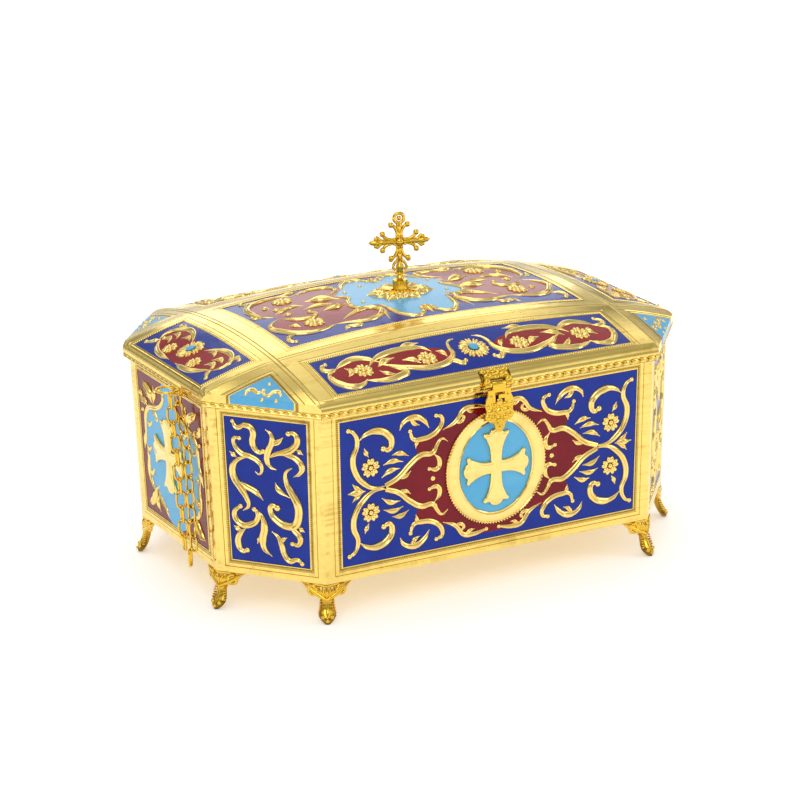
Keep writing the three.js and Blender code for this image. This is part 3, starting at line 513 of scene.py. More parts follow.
def wallMatrix(wall, v=0.0):
    # u to the right, v up the wall and n outwards, from the middle of the wall's top edge
    index = wallNames.index(wall)
    corners = plan(0)
    a, b = corners[index], corners[(index + 1) % 8]
    along = (b - a).normalized()
    lean = math.atan(casket["lean"])
    out = Vector((along.y, -along.x, 0))
    up = Vector((0, 0, 1))
    u = Vector((along.x, along.y, 0))
    vAxis = up * math.cos(lean) + out * math.sin(lean)
    n = out * math.cos(lean) - up * math.sin(lean)
    origin = Vector(((a.x + b.x) / 2, (a.y + b.y) / 2, topZ)) + vAxis * v
    matrix = Matrix((u, vAxis, n)).transposed().to_4x4()
    matrix.translation = origin
    return matrix


def panelCentre(wall):
    margins = marginsOf(wall)
    return (-margins["top"] - slant + margins["foot"]) / 2


def panelMatrix(wall):
    return wallMatrix(wall, panelCentre(wall))


def panelOutline(wall, grow=0.0):
    # corners of a wall's enamel panel about its centre, from bottom left
    index = wallNames.index(wall)
    top, foot = plan(0), plan(drawnIn(footZ))
    halfTop = (top[index] - top[(index + 1) % 8]).length / 2
    halfFoot = (foot[index] - foot[(index + 1) % 8]).length / 2
    margins = marginsOf(wall)
    centre = panelCentre(wall)
    low = -slant + margins["foot"] - grow
    high = -margins["top"] + grow

    def half(v):
        return halfTop + (halfTop - halfFoot) / slant * v - margins["side"] + grow

    return [(-half(low), low - centre), (half(low), low - centre),
            (half(high), high - centre), (-half(high), high - centre)]


shell = {
    "cornerBevel": 0.9,
    # steps of the frame round each panel: how far outside the enamel and how high
    "frameSteps": [(5.0, 0), (4.75, -0.45), (4.4, 0.08), (2.6, 0.08), (2.4, -0.15), (2.0, -0.15), (0.9,
                                                                                                   -0.15),
                   (0.6, 0.1), (0.15, 0.05), (0.0, -1.1)],
    "milledStep": 0.9,  # the channel under the row of beads, laid in dark gilt, ends here
}


def buildShell():
    bm = bmesh.new()
    foot = [bm.verts.new((p.x, p.y, footZ)) for p in plan(drawnIn(footZ))]
    base = bm.faces.new(foot)
    grown = bmesh.ops.extrude_face_region(bm, geom=[base])["geom"]
    base.normal_flip()
    top = [g for g in grown if isinstance(g, bmesh.types.BMFace)][0]
    for vert in top.verts:
        index = min(range(8), key=lambda i: (foot[i].co - vert.co).length)
        place = plan(drawnIn(rimTopZ))[index]
        vert.co = (place.x, place.y, rimTopZ)
    bmesh.ops.inset_individual(bm, faces=[top], thickness=casket["wall"], use_even_offset=True)
    well = bmesh.ops.extrude_discrete_faces(bm, faces=[top])["faces"][0]
    floorZ = footZ + casket["floor"]
    inner = plan(drawnIn(floorZ) - casket["wall"])
    for vert in well.verts:
        index = min(range(8), key=lambda i: (foot[i].co.xy - vert.co.xy).length)
        vert.co = (inner[index].x, inner[index].y, floorZ)
    upright = [e for e in bm.edges if abs(e.verts[0].co.z - e.verts[1].co.z) > 99]
    bmesh.ops.bevel(bm, geom=upright, offset=shell["cornerBevel"], segments=3, profile=0.5,
                    affect="EDGES", material=-1)
    bmesh.ops.recalc_face_normals(bm, faces=bm.faces)
    for wall in wallNames:
        matrix = panelMatrix(wall)
        back = matrix.inverted()
        normal = matrix.to_3x3() @ Vector((0, 0, 1))
        face = min((f for f in bm.faces if f.normal.dot(normal) > 0.99),
                   key=lambda f: (f.calc_center_median() - matrix.translation).length)
        for grow, depth in shell["frameSteps"]:
            ring = bmesh.ops.inset_individual(bm, faces=[face], thickness=0.2, use_even_offset=True)["faces"]
            for side in ring:
                side.material_index = 1 if grow == shell["milledStep"] else 0
            corners = panelOutline(wall, grow)
            for vert in face.verts:
                local = back @ vert.co
                spot = min(corners, key=lambda c: (Vector(c) - local.xy).length)
                vert.co = matrix @ Vector((*spot, depth))
    addPiece(bm, "casketShell", "casket", ["giltSheet", "giltDark"], ["casket_body"])


beading = {"pitch": 1.15, "radius": 0.42, "crest": 0.2, "height": 0.42, "away": 1.45}


def addBeads(bm, corners, place):
    # a milled row round a panel; place turns a point of the outline into a matrix
    for (ax, ay), (bx, by) in zip(corners, corners[1:] + corners[:1]):
        count = round(math.hypot(bx - ax, by - ay) / beading["pitch"])
        for step in range(count):
            t = step / count
            bmesh.ops.create_cone(
                bm, cap_ends=True, segments=6, radius1=beading["radius"], radius2=beading["crest"],
                depth=beading["height"], matrix=place(ax + (bx - ax) * t, ay + (by - ay) * t))


def buildWallBeads():
    bm = bmesh.new()
    for wall in wallNames:
        matrix = panelMatrix(wall)
        addBeads(bm, panelOutline(wall, beading["away"]),
                 lambda x, y, m=matrix: m @ Matrix.Translation((x, y, beading["height"] / 2)))
    addPiece(bm, "milledRows", "casket", ["giltSheet"])


# Front panel: quarter turns of scroll, mirrored four ways, round an oval emblem

frontPanel = {
    "shift": 0.8,
    "quarter": [
        scroll(2.8, "tip ball", (66, 1.5), (74, 0.5), (82, 5), (87, 12), (88.3, 20.5), (85.5, 29), (88, 35.5),
               (91, 37)),
        scroll(3.4, "tip ball", (84.5, 30), (79.5, 33.5), (72.5, 34), (66.3, 30.5), (64.3, 26), (66, 22),
               (69.5, 23)),
        scroll(2.8, "broad tip", (68.4, 1), (60, 4.6), (52.7, 11), (45.6, 15.3), (38.4, 15.3), (35.6, 19.6),
               (32.7, 22.5), (28.7, 20.3)),
        scroll(2.4, "tip ball", (37.7, 14.6), (34.1, 9.6), (35.6, 5.3), (40.6, 6)),
        scroll(2.6, "ball ball", (52.7, 30.3), (50.6, 25.3), (45.6, 24.6), (38.4, 26), (33.4, 30.3),
               (32.7, 35.3),
               (36.3, 36.8)),
        scroll(2, "broad tip", (47.6, 24.8), (48.6, 22.6), (49.1, 19.6)),
        scroll(2.4, "tip ball", (32, 27.5), (24.1, 31), (18.4, 37.5), (12.7, 38.2), (4, 36.8)),
        scroll(1.8, "broad ball", (24.1, 31), (20.5, 30.6), (18.6, 32.8), (20.2, 34.4)),
        scroll(1.8, "broad tip", (17, 37.6), (14.4, 35.6), (11.6, 35.4)),
        scroll(3, "tip tip", (59.1, 31.8), (57, 36), (49.9, 38.2), (44.1, 35.3), (40.6, 30.3)),
        scroll(2.2, "broad tip", (52, 37.6), (50, 34.4), (46.6, 33)),
        scroll(2.6, "tip tip", (64, 18.2), (59, 18.6), (53.5, 16)),
        scroll(2.6, "tip tip", (69.6, 13.2), (63.5, 14.8), (57, 13.2)),
        scroll(2.6, "tip tip", (70.6, 6), (65.2, 9.4), (59, 9.6)),
        scroll(2.4, "tip tip", (78.6, 19.6), (80.2, 22.2), (81.2, 25.2)),
        scroll(2, "broad tip", (60.4, 4.4), (55.6, 4.4), (52.2, 6.8)),
    ],
    "buds": [
        scroll(3.4, "tip tip", (80.6, 0), (86.4, 0), (91.6, 0)),
        scroll(2.2, "tip tip", (82, 0.6), (86, 2.6), (88.8, 5.4)),
        scroll(2.2, "tip tip", (82, -0.6), (86, -2.6), (88.8, -5.4)),
    ],
    "flower": (77.5, 13.2, 5.6, 5),
    "crimson": [(68, 0), (60, 4.6), (52.7, 11), (48, 14), (48.6, 19), (50, 24), (45.6, 24.6), (38.4, 26),
                (33.4, 28.5), (24, 31), (18.4, 36), (12.7, 38), (0, 39)],
    "emblemX": 2.6,
}
emblem = {
    "outer": (32, 33.8), "inner": (23.3, 27.2), "ropePitch": 1.9,
    "reach": (20.5, 22.6), "waist": 6.8, "flare": 16.5, "thick": 1.7,
}


def quarterField(points):
    # a closed outline from one quarter's points, which start and end on the axes
    first = list(points)
    second = [(-x, y) for x, y in reversed(points[:-1])]
    upper = first + second
    return upper + [(x, -y) for x, y in reversed(upper[1:-1])]


def crossOutline(reach, waist, flare):
    # four flared arms, each ending in two rounded ears and a soft point
    outline, sharp = [], []
    side = [(0.5, None, 0.62), (0.76, 0.8, None), (0.9, 1.0, None), (0.9, 0.55, None), (1.0, 0.3, None)]
    for arm in range(4):
        length = reach[arm % 2]
        turn = Matrix.Rotation(arm * math.pi / 2, 2)
        half = []
        for at, share, neck in side:
            half.append((at * length, (neck * waist if neck else share * flare / 2)))
        points = [(waist / 2, -waist / 2)] + [(x, -y) for x, y in half] + list(reversed(half))
        sharp.append(len(outline))
        sharp.append(len(outline) + 4)
        sharp.append(len(outline) + 7)
        outline += [tuple(turn @ Vector(p)) for p in points]
    return outline, sharp


def addCross(bm, reach, waist, flare, thick, x=0.0, y=0.0, base=-0.2):
    outline, sharp = crossOutline(reach, waist, flare)
    merge(bm, cutPlate([outline], thick, 0.55, 4, [sharp]), Matrix.Translation((x, y, base)))
    inner, sharp = crossOutline([r - 1.5 for r in reach], waist - 2.6, flare - 3.2)
    merge(bm, cutPlate([inner], 0.5, 0.2, 4, [sharp]), Matrix.Translation((x, y, base + thick - 0.28)))


def emblemRing(bm, x=0.0):
    (ox, oy), (ix, iy) = emblem["outer"], emblem["inner"]
    count = 16
    path = ellipse((ox + ix) / 2, (oy + iy) / 2, count, x)
    widths = []
    for index in range(count):
        angle = index * 2 * math.pi / count
        widths.append((ox - ix) * math.cos(angle) ** 2 + (oy - iy) * math.sin(angle) ** 2)
    outline = [(-0.5, -0.06), (-0.5, 0.1), (-0.43, 0.17), (-0.36, 0.11), (-0.1, 0.16), (0.2, 0.15), (0.36,
                                                                                                     0.1),
               (0.43, 0.15), (0.5, 0.1), (0.5, -0.06)]
    merge(bm, sweep([{"path": path, "widths": widths}], outline, True, 6))
    for side, (rx, ry) in ((1, (ox - 0.3, oy - 0.3)), (0, (ix + 0.4, iy + 0.4))):
        count = round(math.pi * (rx + ry) / emblem["ropePitch"])
        for index in range(count):
            angle = index * 2 * math.pi / count
            if side:
                lump(bm, (x + rx * math.cos(angle), ry * math.sin(angle), 0.75), (0.95, 0.55, 0.75),
                     angle + 0.6, 6, 4)


def flatGround(wall, colour):
    bm = bmesh.new()
    corners = [bm.verts.new((*p, casket["ground"])) for p in panelOutline(wall, 0.05)]
    bm.faces.new(corners).material_index = colour
    return bm


def layField(bm, outline, level, material, corners=(), dx=0.0, dy=0.0):
    layer = field(outline, corners)
    merge(bm, layer, Matrix.Translation((dx, dy, casket["ground"] + 0.05 * level)), material)


def buildFront():
    shift = frontPanel["shift"]
    ground = flatGround("front", 0)
    crimson = quarterField(frontPanel["crimson"])
    layField(ground, crimson, 1, 1, [0, len(frontPanel["crimson"]) * 2 - 2], shift)
    layField(ground, ellipse(25, 28.6, 12), 2, 2, (), frontPanel["emblemX"])
    bmesh.ops.transform(ground, matrix=panelMatrix("front"), verts=ground.verts)
    addPiece(ground, "frontEnamel", "casket", ["enamelBlue", "enamelRed", "enamelSky"], ["panel_front"])

    strokes = fourWays(frontPanel["quarter"]) + bothSides(frontPanel["buds"])
    x, y, radius, petals = frontPanel["flower"]
    flowers = [(sx * x + shift, sy * y, radius, petals) for sx in (1, -1) for sy in (1, -1)]
    pellets = [(38.4 + shift, 0, 1.7), (-38.4 + shift, 0, 1.7)]
    relief = reliefMesh(moved(strokes, shift, 0), flowers, pellets)
    emblemRing(relief, frontPanel["emblemX"])
    addCross(relief, emblem["reach"], emblem["waist"], emblem["flare"], emblem["thick"],
             frontPanel["emblemX"])
    move = panelMatrix("front") @ Matrix.Translation((0, 0, casket["ground"]))
    bmesh.ops.transform(relief, matrix=move, verts=relief.verts)
    addPiece(relief, "frontRelief", "casket", ["giltRelief"], sharp=50)


# The back repeats the front with fewer turns and an empty oval

backPanel = {
    "quarter": [
        scroll(3.4, "broad ball", (66, 1), (75, 1), (84, 7), (88, 19), (85, 30), (77, 34), (70, 32), (68,
                                                                                                      27)),
        scroll(3, "broad tip", (68.4, 1), (60, 5), (51, 12), (43, 15.5), (36, 19), (30, 24)),
        scroll(2.6, "tip ball", (50, 12.6), (52, 20), (47, 27), (39, 27), (38, 21)),
        scroll(2.6, "tip tip", (30, 29), (22, 34), (12, 38), (3, 37)),
    ],
    "crimson": [(68, 0), (60, 5), (51, 12), (43, 15.5), (36, 19), (30, 26), (20, 34), (10, 38), (0, 39)],
}


def buildBack():
    ground = flatGround("back", 0)
    crimson = quarterField(backPanel["crimson"])
    layField(ground, crimson, 1, 1, [0, len(backPanel["crimson"]) * 2 - 2])
    layField(ground, ellipse(25, 28.6, 12), 2, 2)
    bmesh.ops.transform(ground, matrix=panelMatrix("back"), verts=ground.verts)
    addPiece(ground, "backEnamel", "casket", ["enamelBlue", "enamelRed", "enamelSky"], ["panel_back"])
    flowers = [(sx * 76, sy * 17, 5.4, 5) for sx in (1, -1) for sy in (1, -1)] + [(0, 0, 9, 8)]
    relief = reliefMesh(fourWays(backPanel["quarter"]), flowers)
    emblemRing(relief)
    move = panelMatrix("back") @ Matrix.Translation((0, 0, casket["ground"]))
    bmesh.ops.transform(relief, matrix=move, verts=relief.verts)
    addPiece(relief, "backRelief", "casket", ["giltRelief"], sharp=50)


# Cut corners: freely curling acanthus

cornerPanel = {
    "strokes": [
        scroll(2.4, "ball broad", (-19.8, 39.9), (-17.3, 36.5), (-12.7, 38.6)),
        scroll(3, "broad ball", (-13.4, 38.4), (-8.9, 37.4), (-7.3, 34), (-8.1, 29), (-6.8, 25.3), (-3.9,
                                                                                                    23.2),
               (-1.8, 24)),
        scroll(2.6, "ball tip", (-16, 30.3), (-19.3, 29.9), (-19.3, 26.5), (-15.2, 21.5), (-10.2, 20.3),
               (-5.2, 17.8), (-3.1, 14.5), (-4.8, 10.3), (-7.3, 11.5)),
        scroll(3.4, "tip tip", (-11.8, 19.5), (-17.7, 17.4), (-21, 12.4), (-20.2, 6.5), (-16.4, 0.7),
               (-13.1, -5.1), (-12.3, -9.3), (-16, -12.6)),
        scroll(2.8, "tip tip", (-18, 4.9), (-12.7, 2), (-7.3, -0.5), (-3.1, -5.1)),
        scroll(3, "ball ball", (-17.3, -10.1), (-21, -13.5), (-20.6, -17.6), (-16.4, -21), (-11, -20.1),
               (-7.3, -16.8), (-7.3, -12.6), (-8.9, -11)),
        scroll(3.6, "tip tip", (-6.8, -11.8), (-4.3, -15.1), (-3.1, -21.8), (-4.3, -27.6), (-3.9, -33.5),
               (0.7, -38)),
        scroll(2.2, "broad tip", (-3.9, -26.6), (-6.6, -28.6), (-8.1, -31.4)),
        scroll(3, "tip ball", (-14.3, -22.6), (-18.5, -26.8), (-19.8, -32.6), (-17.3, -36.8), (-14.3, -36)),
        scroll(2.6, "tip tip", (-22.4, 21.8), (-20.2, 20.3), (-18.4, 18.8)),
        scroll(2.6, "tip tip", (-22, -22.2), (-19.8, -23.5), (-17.6, -24.2)),
        scroll(3, "tip tip", (0, 37), (3.2, 34.9), (4, 30.7), (1.5, 24.9), (0.3, 19.5), (2.3, 15.3), (5.7,
                                                                                                      14)),
        scroll(2.6, "broad tip", (4, 29), (7.4, 30.4), (10.7, 33.6)),
        scroll(3.2, "tip ball", (1.1, 20.3), (5.7, 23.2), (12.3, 25.3), (17.3, 28.6), (19.4, 32.8), (17.3,
                                                                                                     36.5),
               (14, 36.1)),
        scroll(3, "tip tip", (8.2, 23.2), (14, 23.2), (19, 21.1), (21.5, 17), (19.5, 13), (16, 11.1)),
        scroll(3.8, "tip ball", (15.3, 16.1), (11.5, 13.2), (11.5, 7.4), (14.8, 0.7), (17.8, -5.1), (18.2,
                                                                                                     -11.8),
               (15.7, -17.6), (10.7, -18.5), (4.8, -16), (1.1, -11), (1.9, -7.6), (5.3, -8.5)),
        scroll(2.6, "tip tip", (4.6, 6.5), (6.5, 2.4), (13.2, -1.8)),
        scroll(2.8, "tip ball", (10.7, -18.1), (15.7, -21.4), (18.6, -25.1), (17.3, -28.9), (13.6, -28.9)),
        scroll(2.8, "tip ball", (1.1, -23), (4.8, -25.6), (6.9, -30.1), (8.2, -35.1), (11.5, -39.3),
               (16.5, -38.1),
               (19, -40.1)),
        scroll(2.2, "broad tip", (6.4, -28.8), (8, -27), (10.4, -25.6)),
        scroll(2.4, "tip tip", (18.2, 27), (20.3, 26.1), (22.4, 24.6)),
        scroll(2.4, "tip tip", (17.4, -18.8), (19.4, -19.7), (21.4, -21)),
    ],
}


def buildCorner(wall, node, flip):
    title = wall[0].upper() + wall[1:]
    ground = flatGround(wall, 0)
    bmesh.ops.transform(ground, matrix=panelMatrix(wall), verts=ground.verts)
    addPiece(ground, f"enamel{title}", "casket", ["enamelBlue"], [node])
    strokes = mirrored(cornerPanel["strokes"], -1, 1) if flip else cornerPanel["strokes"]
    relief = reliefMesh(strokes)
    move = panelMatrix(wall) @ Matrix.Translation((0, 0, casket["ground"]))
    bmesh.ops.transform(relief, matrix=move, verts=relief.verts)
    addPiece(relief, f"relief{title}", "casket", ["giltRelief"], sharp=50)


# Ends: a flared cross in a sky field with leafy edges on crimson

endPanel = {
    "border": [(-13, 38), (-9, 34), (-12, 29), (-18, 25.5), (-25, 24), (-32, 21.5), (-35.5, 17), (-37, 10),
               (-37.5, 2), (-38, -1), (-35.5, -8), (-36, -16), (-34.5, -22), (-30, -27), (-26, -26), (-23,
                                                                                                      -29),
               (-20, -32), (-14, -36), (-12, -40)],
    "strokes": [
        scroll(2.4, "ball tip", (-13, 38), (-9, 34), (-12, 29), (-18, 25.5), (-25, 24), (-32, 21.5),
               (-35.5, 17),
               (-37, 10), (-37.5, 2), (-38, -1)),
        scroll(2.6, "tip tip", (-37, 8), (-38.6, 1), (-41, -5.5)),
        scroll(2.4, "tip tip", (-38, -1), (-35.5, -8), (-36, -16), (-34.5, -22), (-30, -27), (-26, -26),
               (-23, -23.5)),
        scroll(2.4, "tip tip", (-26, -26.4), (-22.6, -30), (-20, -32), (-14, -36), (-12, -40)),
        scroll(4.6, "tip tip", (-37, 37), (-33, 34.5), (-28.5, 32), (-26, 26.5)),
        scroll(3, "ball tip", (-41, 29), (-39.5, 25.5), (-35.5, 25), (-32, 22)),
        scroll(3.2, "tip tip", (-23, 37.5), (-21.4, 33), (-24, 26)),
        scroll(4, "tip tip", (-27, -26), (-29.6, -31.6), (-33.5, -36), (-39.5, -38.5)),
        scroll(2.8, "tip tip", (-25, -30), (-26.4, -35), (-23.5, -40)),
        scroll(2.6, "tip ball", (-26, 24), (-22.6, 21.4), (-19, 18)),
        scroll(2.4, "tip tip", (-34.6, 12), (-31, 12), (-27, 15)),
        scroll(2.4, "tip tip", (-36, -5), (-33.4, -3.6), (-30.4, -1.6)),
        scroll(2.6, "tip tip", (-34.6, -20), (-31.6, -18), (-28.4, -14.6)),
    ],
    "crossX": -4.2, "reach": (20.5, 22), "waist": 7.6, "flare": 17,
}


def buildEnd(wall, node, plainer):
    title = wall[0].upper() + wall[1:]
    ground = flatGround(wall, 0)
    left = endPanel["border"]
    outline = left + [(-x, y) for x, y in reversed(left)]
    layField(ground, outline, 1, 1, (9, 28))
    bmesh.ops.transform(ground, matrix=panelMatrix(wall), verts=ground.verts)
    addPiece(ground, f"enamel{title}", "casket", ["enamelRed", "enamelSky"], [node])
    strokes = endPanel["strokes"][:6] if plainer else endPanel["strokes"]
    shift = 0 if plainer else endPanel["crossX"]
    relief = reliefMesh(bothSides(strokes), (), [(-39.5, 19, 1.4), (39.5, 19, 1.4)])
    addCross(relief, endPanel["reach"], endPanel["waist"], endPanel["flare"], emblem["thick"], shift)
    move = panelMatrix(wall) @ Matrix.Translation((0, 0, casket["ground"]))
    bmesh.ops.transform(relief, matrix=move, verts=relief.verts)
    addPiece(relief, f"relief{title}", "casket", ["giltRelief"], sharp=50)


# Laurel band round the top of the walls

laurel = {"pitch": 5.7, "leaf": (6.4, 2.7), "stations": [(0.45, 0), (1.9, 0), (2.2, 0.5), (2.0, 0.8),
                                                         (2.4, 1.2),
          (2.5, 2.8), (2.1, 3.2), (2.4, 3.5), (2.2, 3.9), (0.45, 3.9)]}


def ringLoft(bm, stations, base):
    # a strip round the plan through stations of (outwards, upwards), closed on itself
    corners = plan(stations[0][0])
    ring = [bm.verts.new((p.x, p.y, base + stations[0][1])) for p in corners]
    edges = [bm.edges.new((a, b)) for a, b in zip(ring, ring[1:] + ring[:1])]
    first = list(edges)
    for out, up in stations[1:]:
        grown = bmesh.ops.extrude_edge_only(bm, edges=edges)["geom"]
        verts = [g for g in grown if isinstance(g, bmesh.types.BMVert)]
        edges = [g for g in grown if isinstance(g, bmesh.types.BMEdge)]
        places = plan(out)
        for vert in verts:
            index = min(range(8), key=lambda i: (plan(0)[i] - vert.co.xy).length)
            vert.co = (places[index].x, places[index].y, base + up)
    bmesh.ops.bridge_loops(bm, edges=first + edges)
    bmesh.ops.recalc_face_normals(bm, faces=bm.faces)


def buildLaurel():
    bm = bmesh.new()
    ringLoft(bm, laurel["stations"], rimZ)
    for face in bm.faces:
        # painted shade: the strip behind the leaves is laid in dark gilt
        face.material_index = 1 if 1.1 < face.calc_center_median().z - rimZ < 3 else 0
    length, width = laurel["leaf"]
    for index, wall in enumerate(wallNames):
        corners = plan(casket["rimOut"])
        span = (corners[index] - corners[(index + 1) % 8]).length
        count = round(span / laurel["pitch"])
        leaves = []
        for step in range(count):
            x = -span / 2 + (step + 0.5) * span / count
            leaves.append(scroll(width, "broad tip", (x - length / 2, 0.2), (x - 0.8, 0.5),
                                 (x + length / 2, -0.7)))
            leaves.append(scroll(1.2, "tip tip", (x - 1.6, 1.5), (x + 0.6, 1.9), (x + 2.8, 1.2)))
        lift = Matrix.Translation((0, rimZ + casket["rimHeight"] / 2 - topZ - 0.1, 2.35))
        merge(bm, sweep(leaves, creased, False, 2), wallMatrix(wall) @ lift)
    addPiece(bm, "laurelBand", "casket", ["giltSheet", "giltDark"], ["laurel_band"], sharp=45)


buildShell()
buildWallBeads()
buildFront()
buildBack()
for wall, node, flip in (("frontLeft", "panel_front_left", False), ("frontRight", "panel_front_right", True),
                         ("backLeft", "panel_back_left", True), ("backRight", "panel_back_right", False)):
    buildCorner(wall, node, flip)
buildEnd("leftEnd", "panel_left_end", False)
buildEnd("rightEnd", "panel_right_end", True)
buildLaurel()
print("walls ready")


# Lid: a domed roof with sunk panels between ribs

lid = {
    "nodeX": plan(lidX - halfLength)[2].x, "nodeY": plan(lidY - halfWidth)[1].y,
    "edgeHeight": 4.7, "nodeHeight": 16.3,
    "crownAlong": 6.5, "crownAcross": 3.4, "bulge": 1.0,
    "thick": 2.6, "border": 4.8,
    "top": (0, 0, 94, 46), "front": (0, -86, 94, 17.6), "back": (0, 86, 94, 17.6),
    "left": (-134, 0, 15.6, 46), "right": (134, 0, 15.6, 46),
    "triangle": (118.3, 68.8),
    # steps of the ribs: distance outside a panel and height
    "ribSteps": [(0.0, -1.2), (0.12, 0.1), (0.5, 0.1), (0.6, -0.12), (1.8, -0.12), (1.9, 0.1), (2.4, 0.1),
                 (3.9, 0.0), (4.15, -0.45), (4.4, 0.12)],
    "milled": (0.6, 1.8),  # the channel under the rows of beads, laid in dark gilt
    "foldSteps": [(-0.9, 0.1), (-0.5, -0.35), (-0.1, 0.1), (1.6, 0.12), (1.9, -0.25), (2.2, 0.05)],
}


def lidHeight(x, y):
    u = max(0, (abs(x) - lid["nodeX"]) / (lidX - lid["nodeX"]))
    v = max(0, (abs(y) - lid["nodeY"]) / (lidY - lid["nodeY"]))
    down = u + v
    crown = lid["crownAlong"] * (1 - min(1, abs(x) / lid["nodeX"]) ** 2)
    crown += lid["crownAcross"] * (1 - min(1, abs(y) / lid["nodeY"]) ** 2)
    height = (lid["nodeHeight"] + crown) * (1 - down) + lid["edgeHeight"] * down
    return seatZ + height + 4 * lid["bulge"] * down * (1 - down)


def outsidePanels(x, y):
    # how far a spot of the lid lies outside the nearest sunk panel; below zero inside one
    found = []
    for key in ("top", "front", "back", "left", "right"):
        cx, cy, hx, hy = lid[key]
        found.append(max(abs(x - cx) - hx, abs(y - cy) - hy))
    legX, legY = lid["triangle"]
    found.append(max(legX - abs(x), legY - abs(y)))
    return min(found)


def between(steps, value):
    if value <= steps[0][0]:
        return steps[0][1]
    for (a, low), (b, high) in zip(steps, steps[1:]):
        if value <= b:
            return low + (high - low) * (value - a) / (b - a)
    return steps[-1][1]


def ribHeight(x, y):
    away = outsidePanels(x, y)
    if away < lid["ribSteps"][-1][0]:
        return between(lid["ribSteps"], away)
    for value, fold in ((abs(x), lid["nodeX"]), (abs(y), lid["nodeY"])):
        if lid["foldSteps"][0][0] < value - fold < lid["foldSteps"][-1][0]:
            return between(lid["foldSteps"], value - fold)
    return lid["ribSteps"][-1][1]


def borderEase(x, y):
    # the border along sides and ends falls in a quarter of an oval
    inward = min(lidX - abs(x), lidY - abs(y))
    if inward >= lid["border"]:
        return 1
    return math.sqrt(max(0, 1 - (1 - max(0, inward) / lid["border"]) ** 2))


def lidLines(axis, edge, fine):
    # stations across the lid with close ones at every step of the ribs
    lines = {0.0, edge}
    fold = lid["nodeX"] if axis == 0 else lid["nodeY"]
    if fine:
        for key in ("top", "front", "back", "left", "right"):
            centre, half = lid[key][axis], lid[key][axis + 2]
            for step, _ in lid["ribSteps"]:
                lines.update((abs(centre + half + step), abs(centre - half - step)))
        lines.update(lid["triangle"][axis] - step for step, _ in lid["ribSteps"])
        lines.update(edge - lid["border"] * t for t in (0.01, 0.04, 0.1, 0.2, 0.35, 0.55, 0.78, 1))
        lines.update(fold + step for step, _ in lid["foldSteps"])
    lines.add(fold)
    lines = sorted(line for line in lines if line <= edge)
    kept = [line for line, after in zip(lines, lines[1:]) if after - line > 0.03] + [edge]
    filled = []
    for line, after in zip(kept, kept[1:]):
        parts = max(1, math.ceil((after - line) / (7 if fine else 16)))
        filled += [line + (after - line) * k / parts for k in range(parts)]
    half = filled[1:] + [edge]
    return [-line for line in reversed(half)] + [0.0] + half


def lidGrid(edgeX, edgeY, fine, height):
    xs = lidLines(0, edgeX, fine)
    ys = lidLines(1, edgeY, fine)
    bm = bmesh.new()
    bmesh.ops.create_grid(bm, x_segments=len(xs) - 1, y_segments=len(ys) - 1, size=0.5)
    for vert in bm.verts:
        i = round((vert.co.x + 0.5) * (len(xs) - 1))
        j = round((vert.co.y + 0.5) * (len(ys) - 1))
        vert.co = (xs[i], ys[j], 0)
    corners = plan(edgeX - halfLength)
    for index in (1, 3, 5, 7):
        a, b = corners[index], corners[(index + 1) % 8]
        normal = Vector((b.y - a.y, a.x - b.x, 0))
        bmesh.ops.bisect_plane(bm, geom=bm.verts[:] + bm.edges[:] + bm.faces[:], dist=1e-4,
                               plane_co=(a.x, a.y, 0), plane_no=normal, clear_outer=True)
    for vert in bm.verts:
        vert.co.z = height(vert.co.x, vert.co.y)
    return bm


def outerHeight(x, y):
    ease = borderEase(x, y)
    surface = lidHeight(x, y) + ribHeight(x, y) * (1 if ease > 0.98 else 0.2)
    return seatZ + 0.5 + (surface - seatZ - 0.5) * ease


def skirt(bm, z):
    edges = [e for e in bm.edges if e.is_boundary]
    grown = bmesh.ops.extrude_edge_only(bm, edges=edges)["geom"]
    for item in grown:
        if isinstance(item, bmesh.types.BMVert):
            item.co.z = z


def buildLidShell():
    bm = lidGrid(lidX, lidY, True, outerHeight)
    for face in bm.faces:
        spot = face.calc_center_median()
        face.material_index = 1 if lid["milled"][0] < outsidePanels(spot.x, spot.y) < lid["milled"][1] else 0
    skirt(bm, seatZ)
    thick = lid["thick"]
    inner = lidGrid(lidX - thick, lidY - thick, False, lambda x, y: lidHeight(x, y) - thick)
    skirt(inner, seatZ)
    merge(bm, inner)
    rims = [e for e in bm.edges if e.is_boundary]
    bmesh.ops.triangle_fill(bm, use_beauty=True, use_dissolve=False, edges=rims)
    bmesh.ops.recalc_face_normals(bm, faces=bm.faces)
    addPiece(bm, "lidShell", "lid", ["giltSheet", "giltDark"], ["lid_shell"], sharp=28)


def lidBox(key, grow=0.05):
    cx, cy, hx, hy = lid[key]
    return cx - hx - grow, cy - hy - grow, cx + hx + grow, cy + hy + grow


def drape(bm, level, relief=False):
    for vert in bm.verts:
        x, y = vert.co.x, vert.co.y
        base = seatZ + 0.5 + (lidHeight(x, y) - seatZ - 0.5) * borderEase(x, y)
        vert.co.z = base + level + (vert.co.z if relief else 0)


def cutCells(bm, step=3.5):
    # cut flat colour into cells so that it can follow the dome
    for axis in (0, 1):
        values = [v.co[axis] for v in bm.verts]
        line = math.ceil(min(values) / step) * step
        while line < max(values):
            normal = Vector((1, 0, 0)) if axis == 0 else Vector((0, 1, 0))
            bmesh.ops.bisect_plane(bm, geom=bm.verts[:] + bm.edges[:] + bm.faces[:], dist=1e-4,
                                   plane_co=normal * line, plane_no=normal)
            line += step


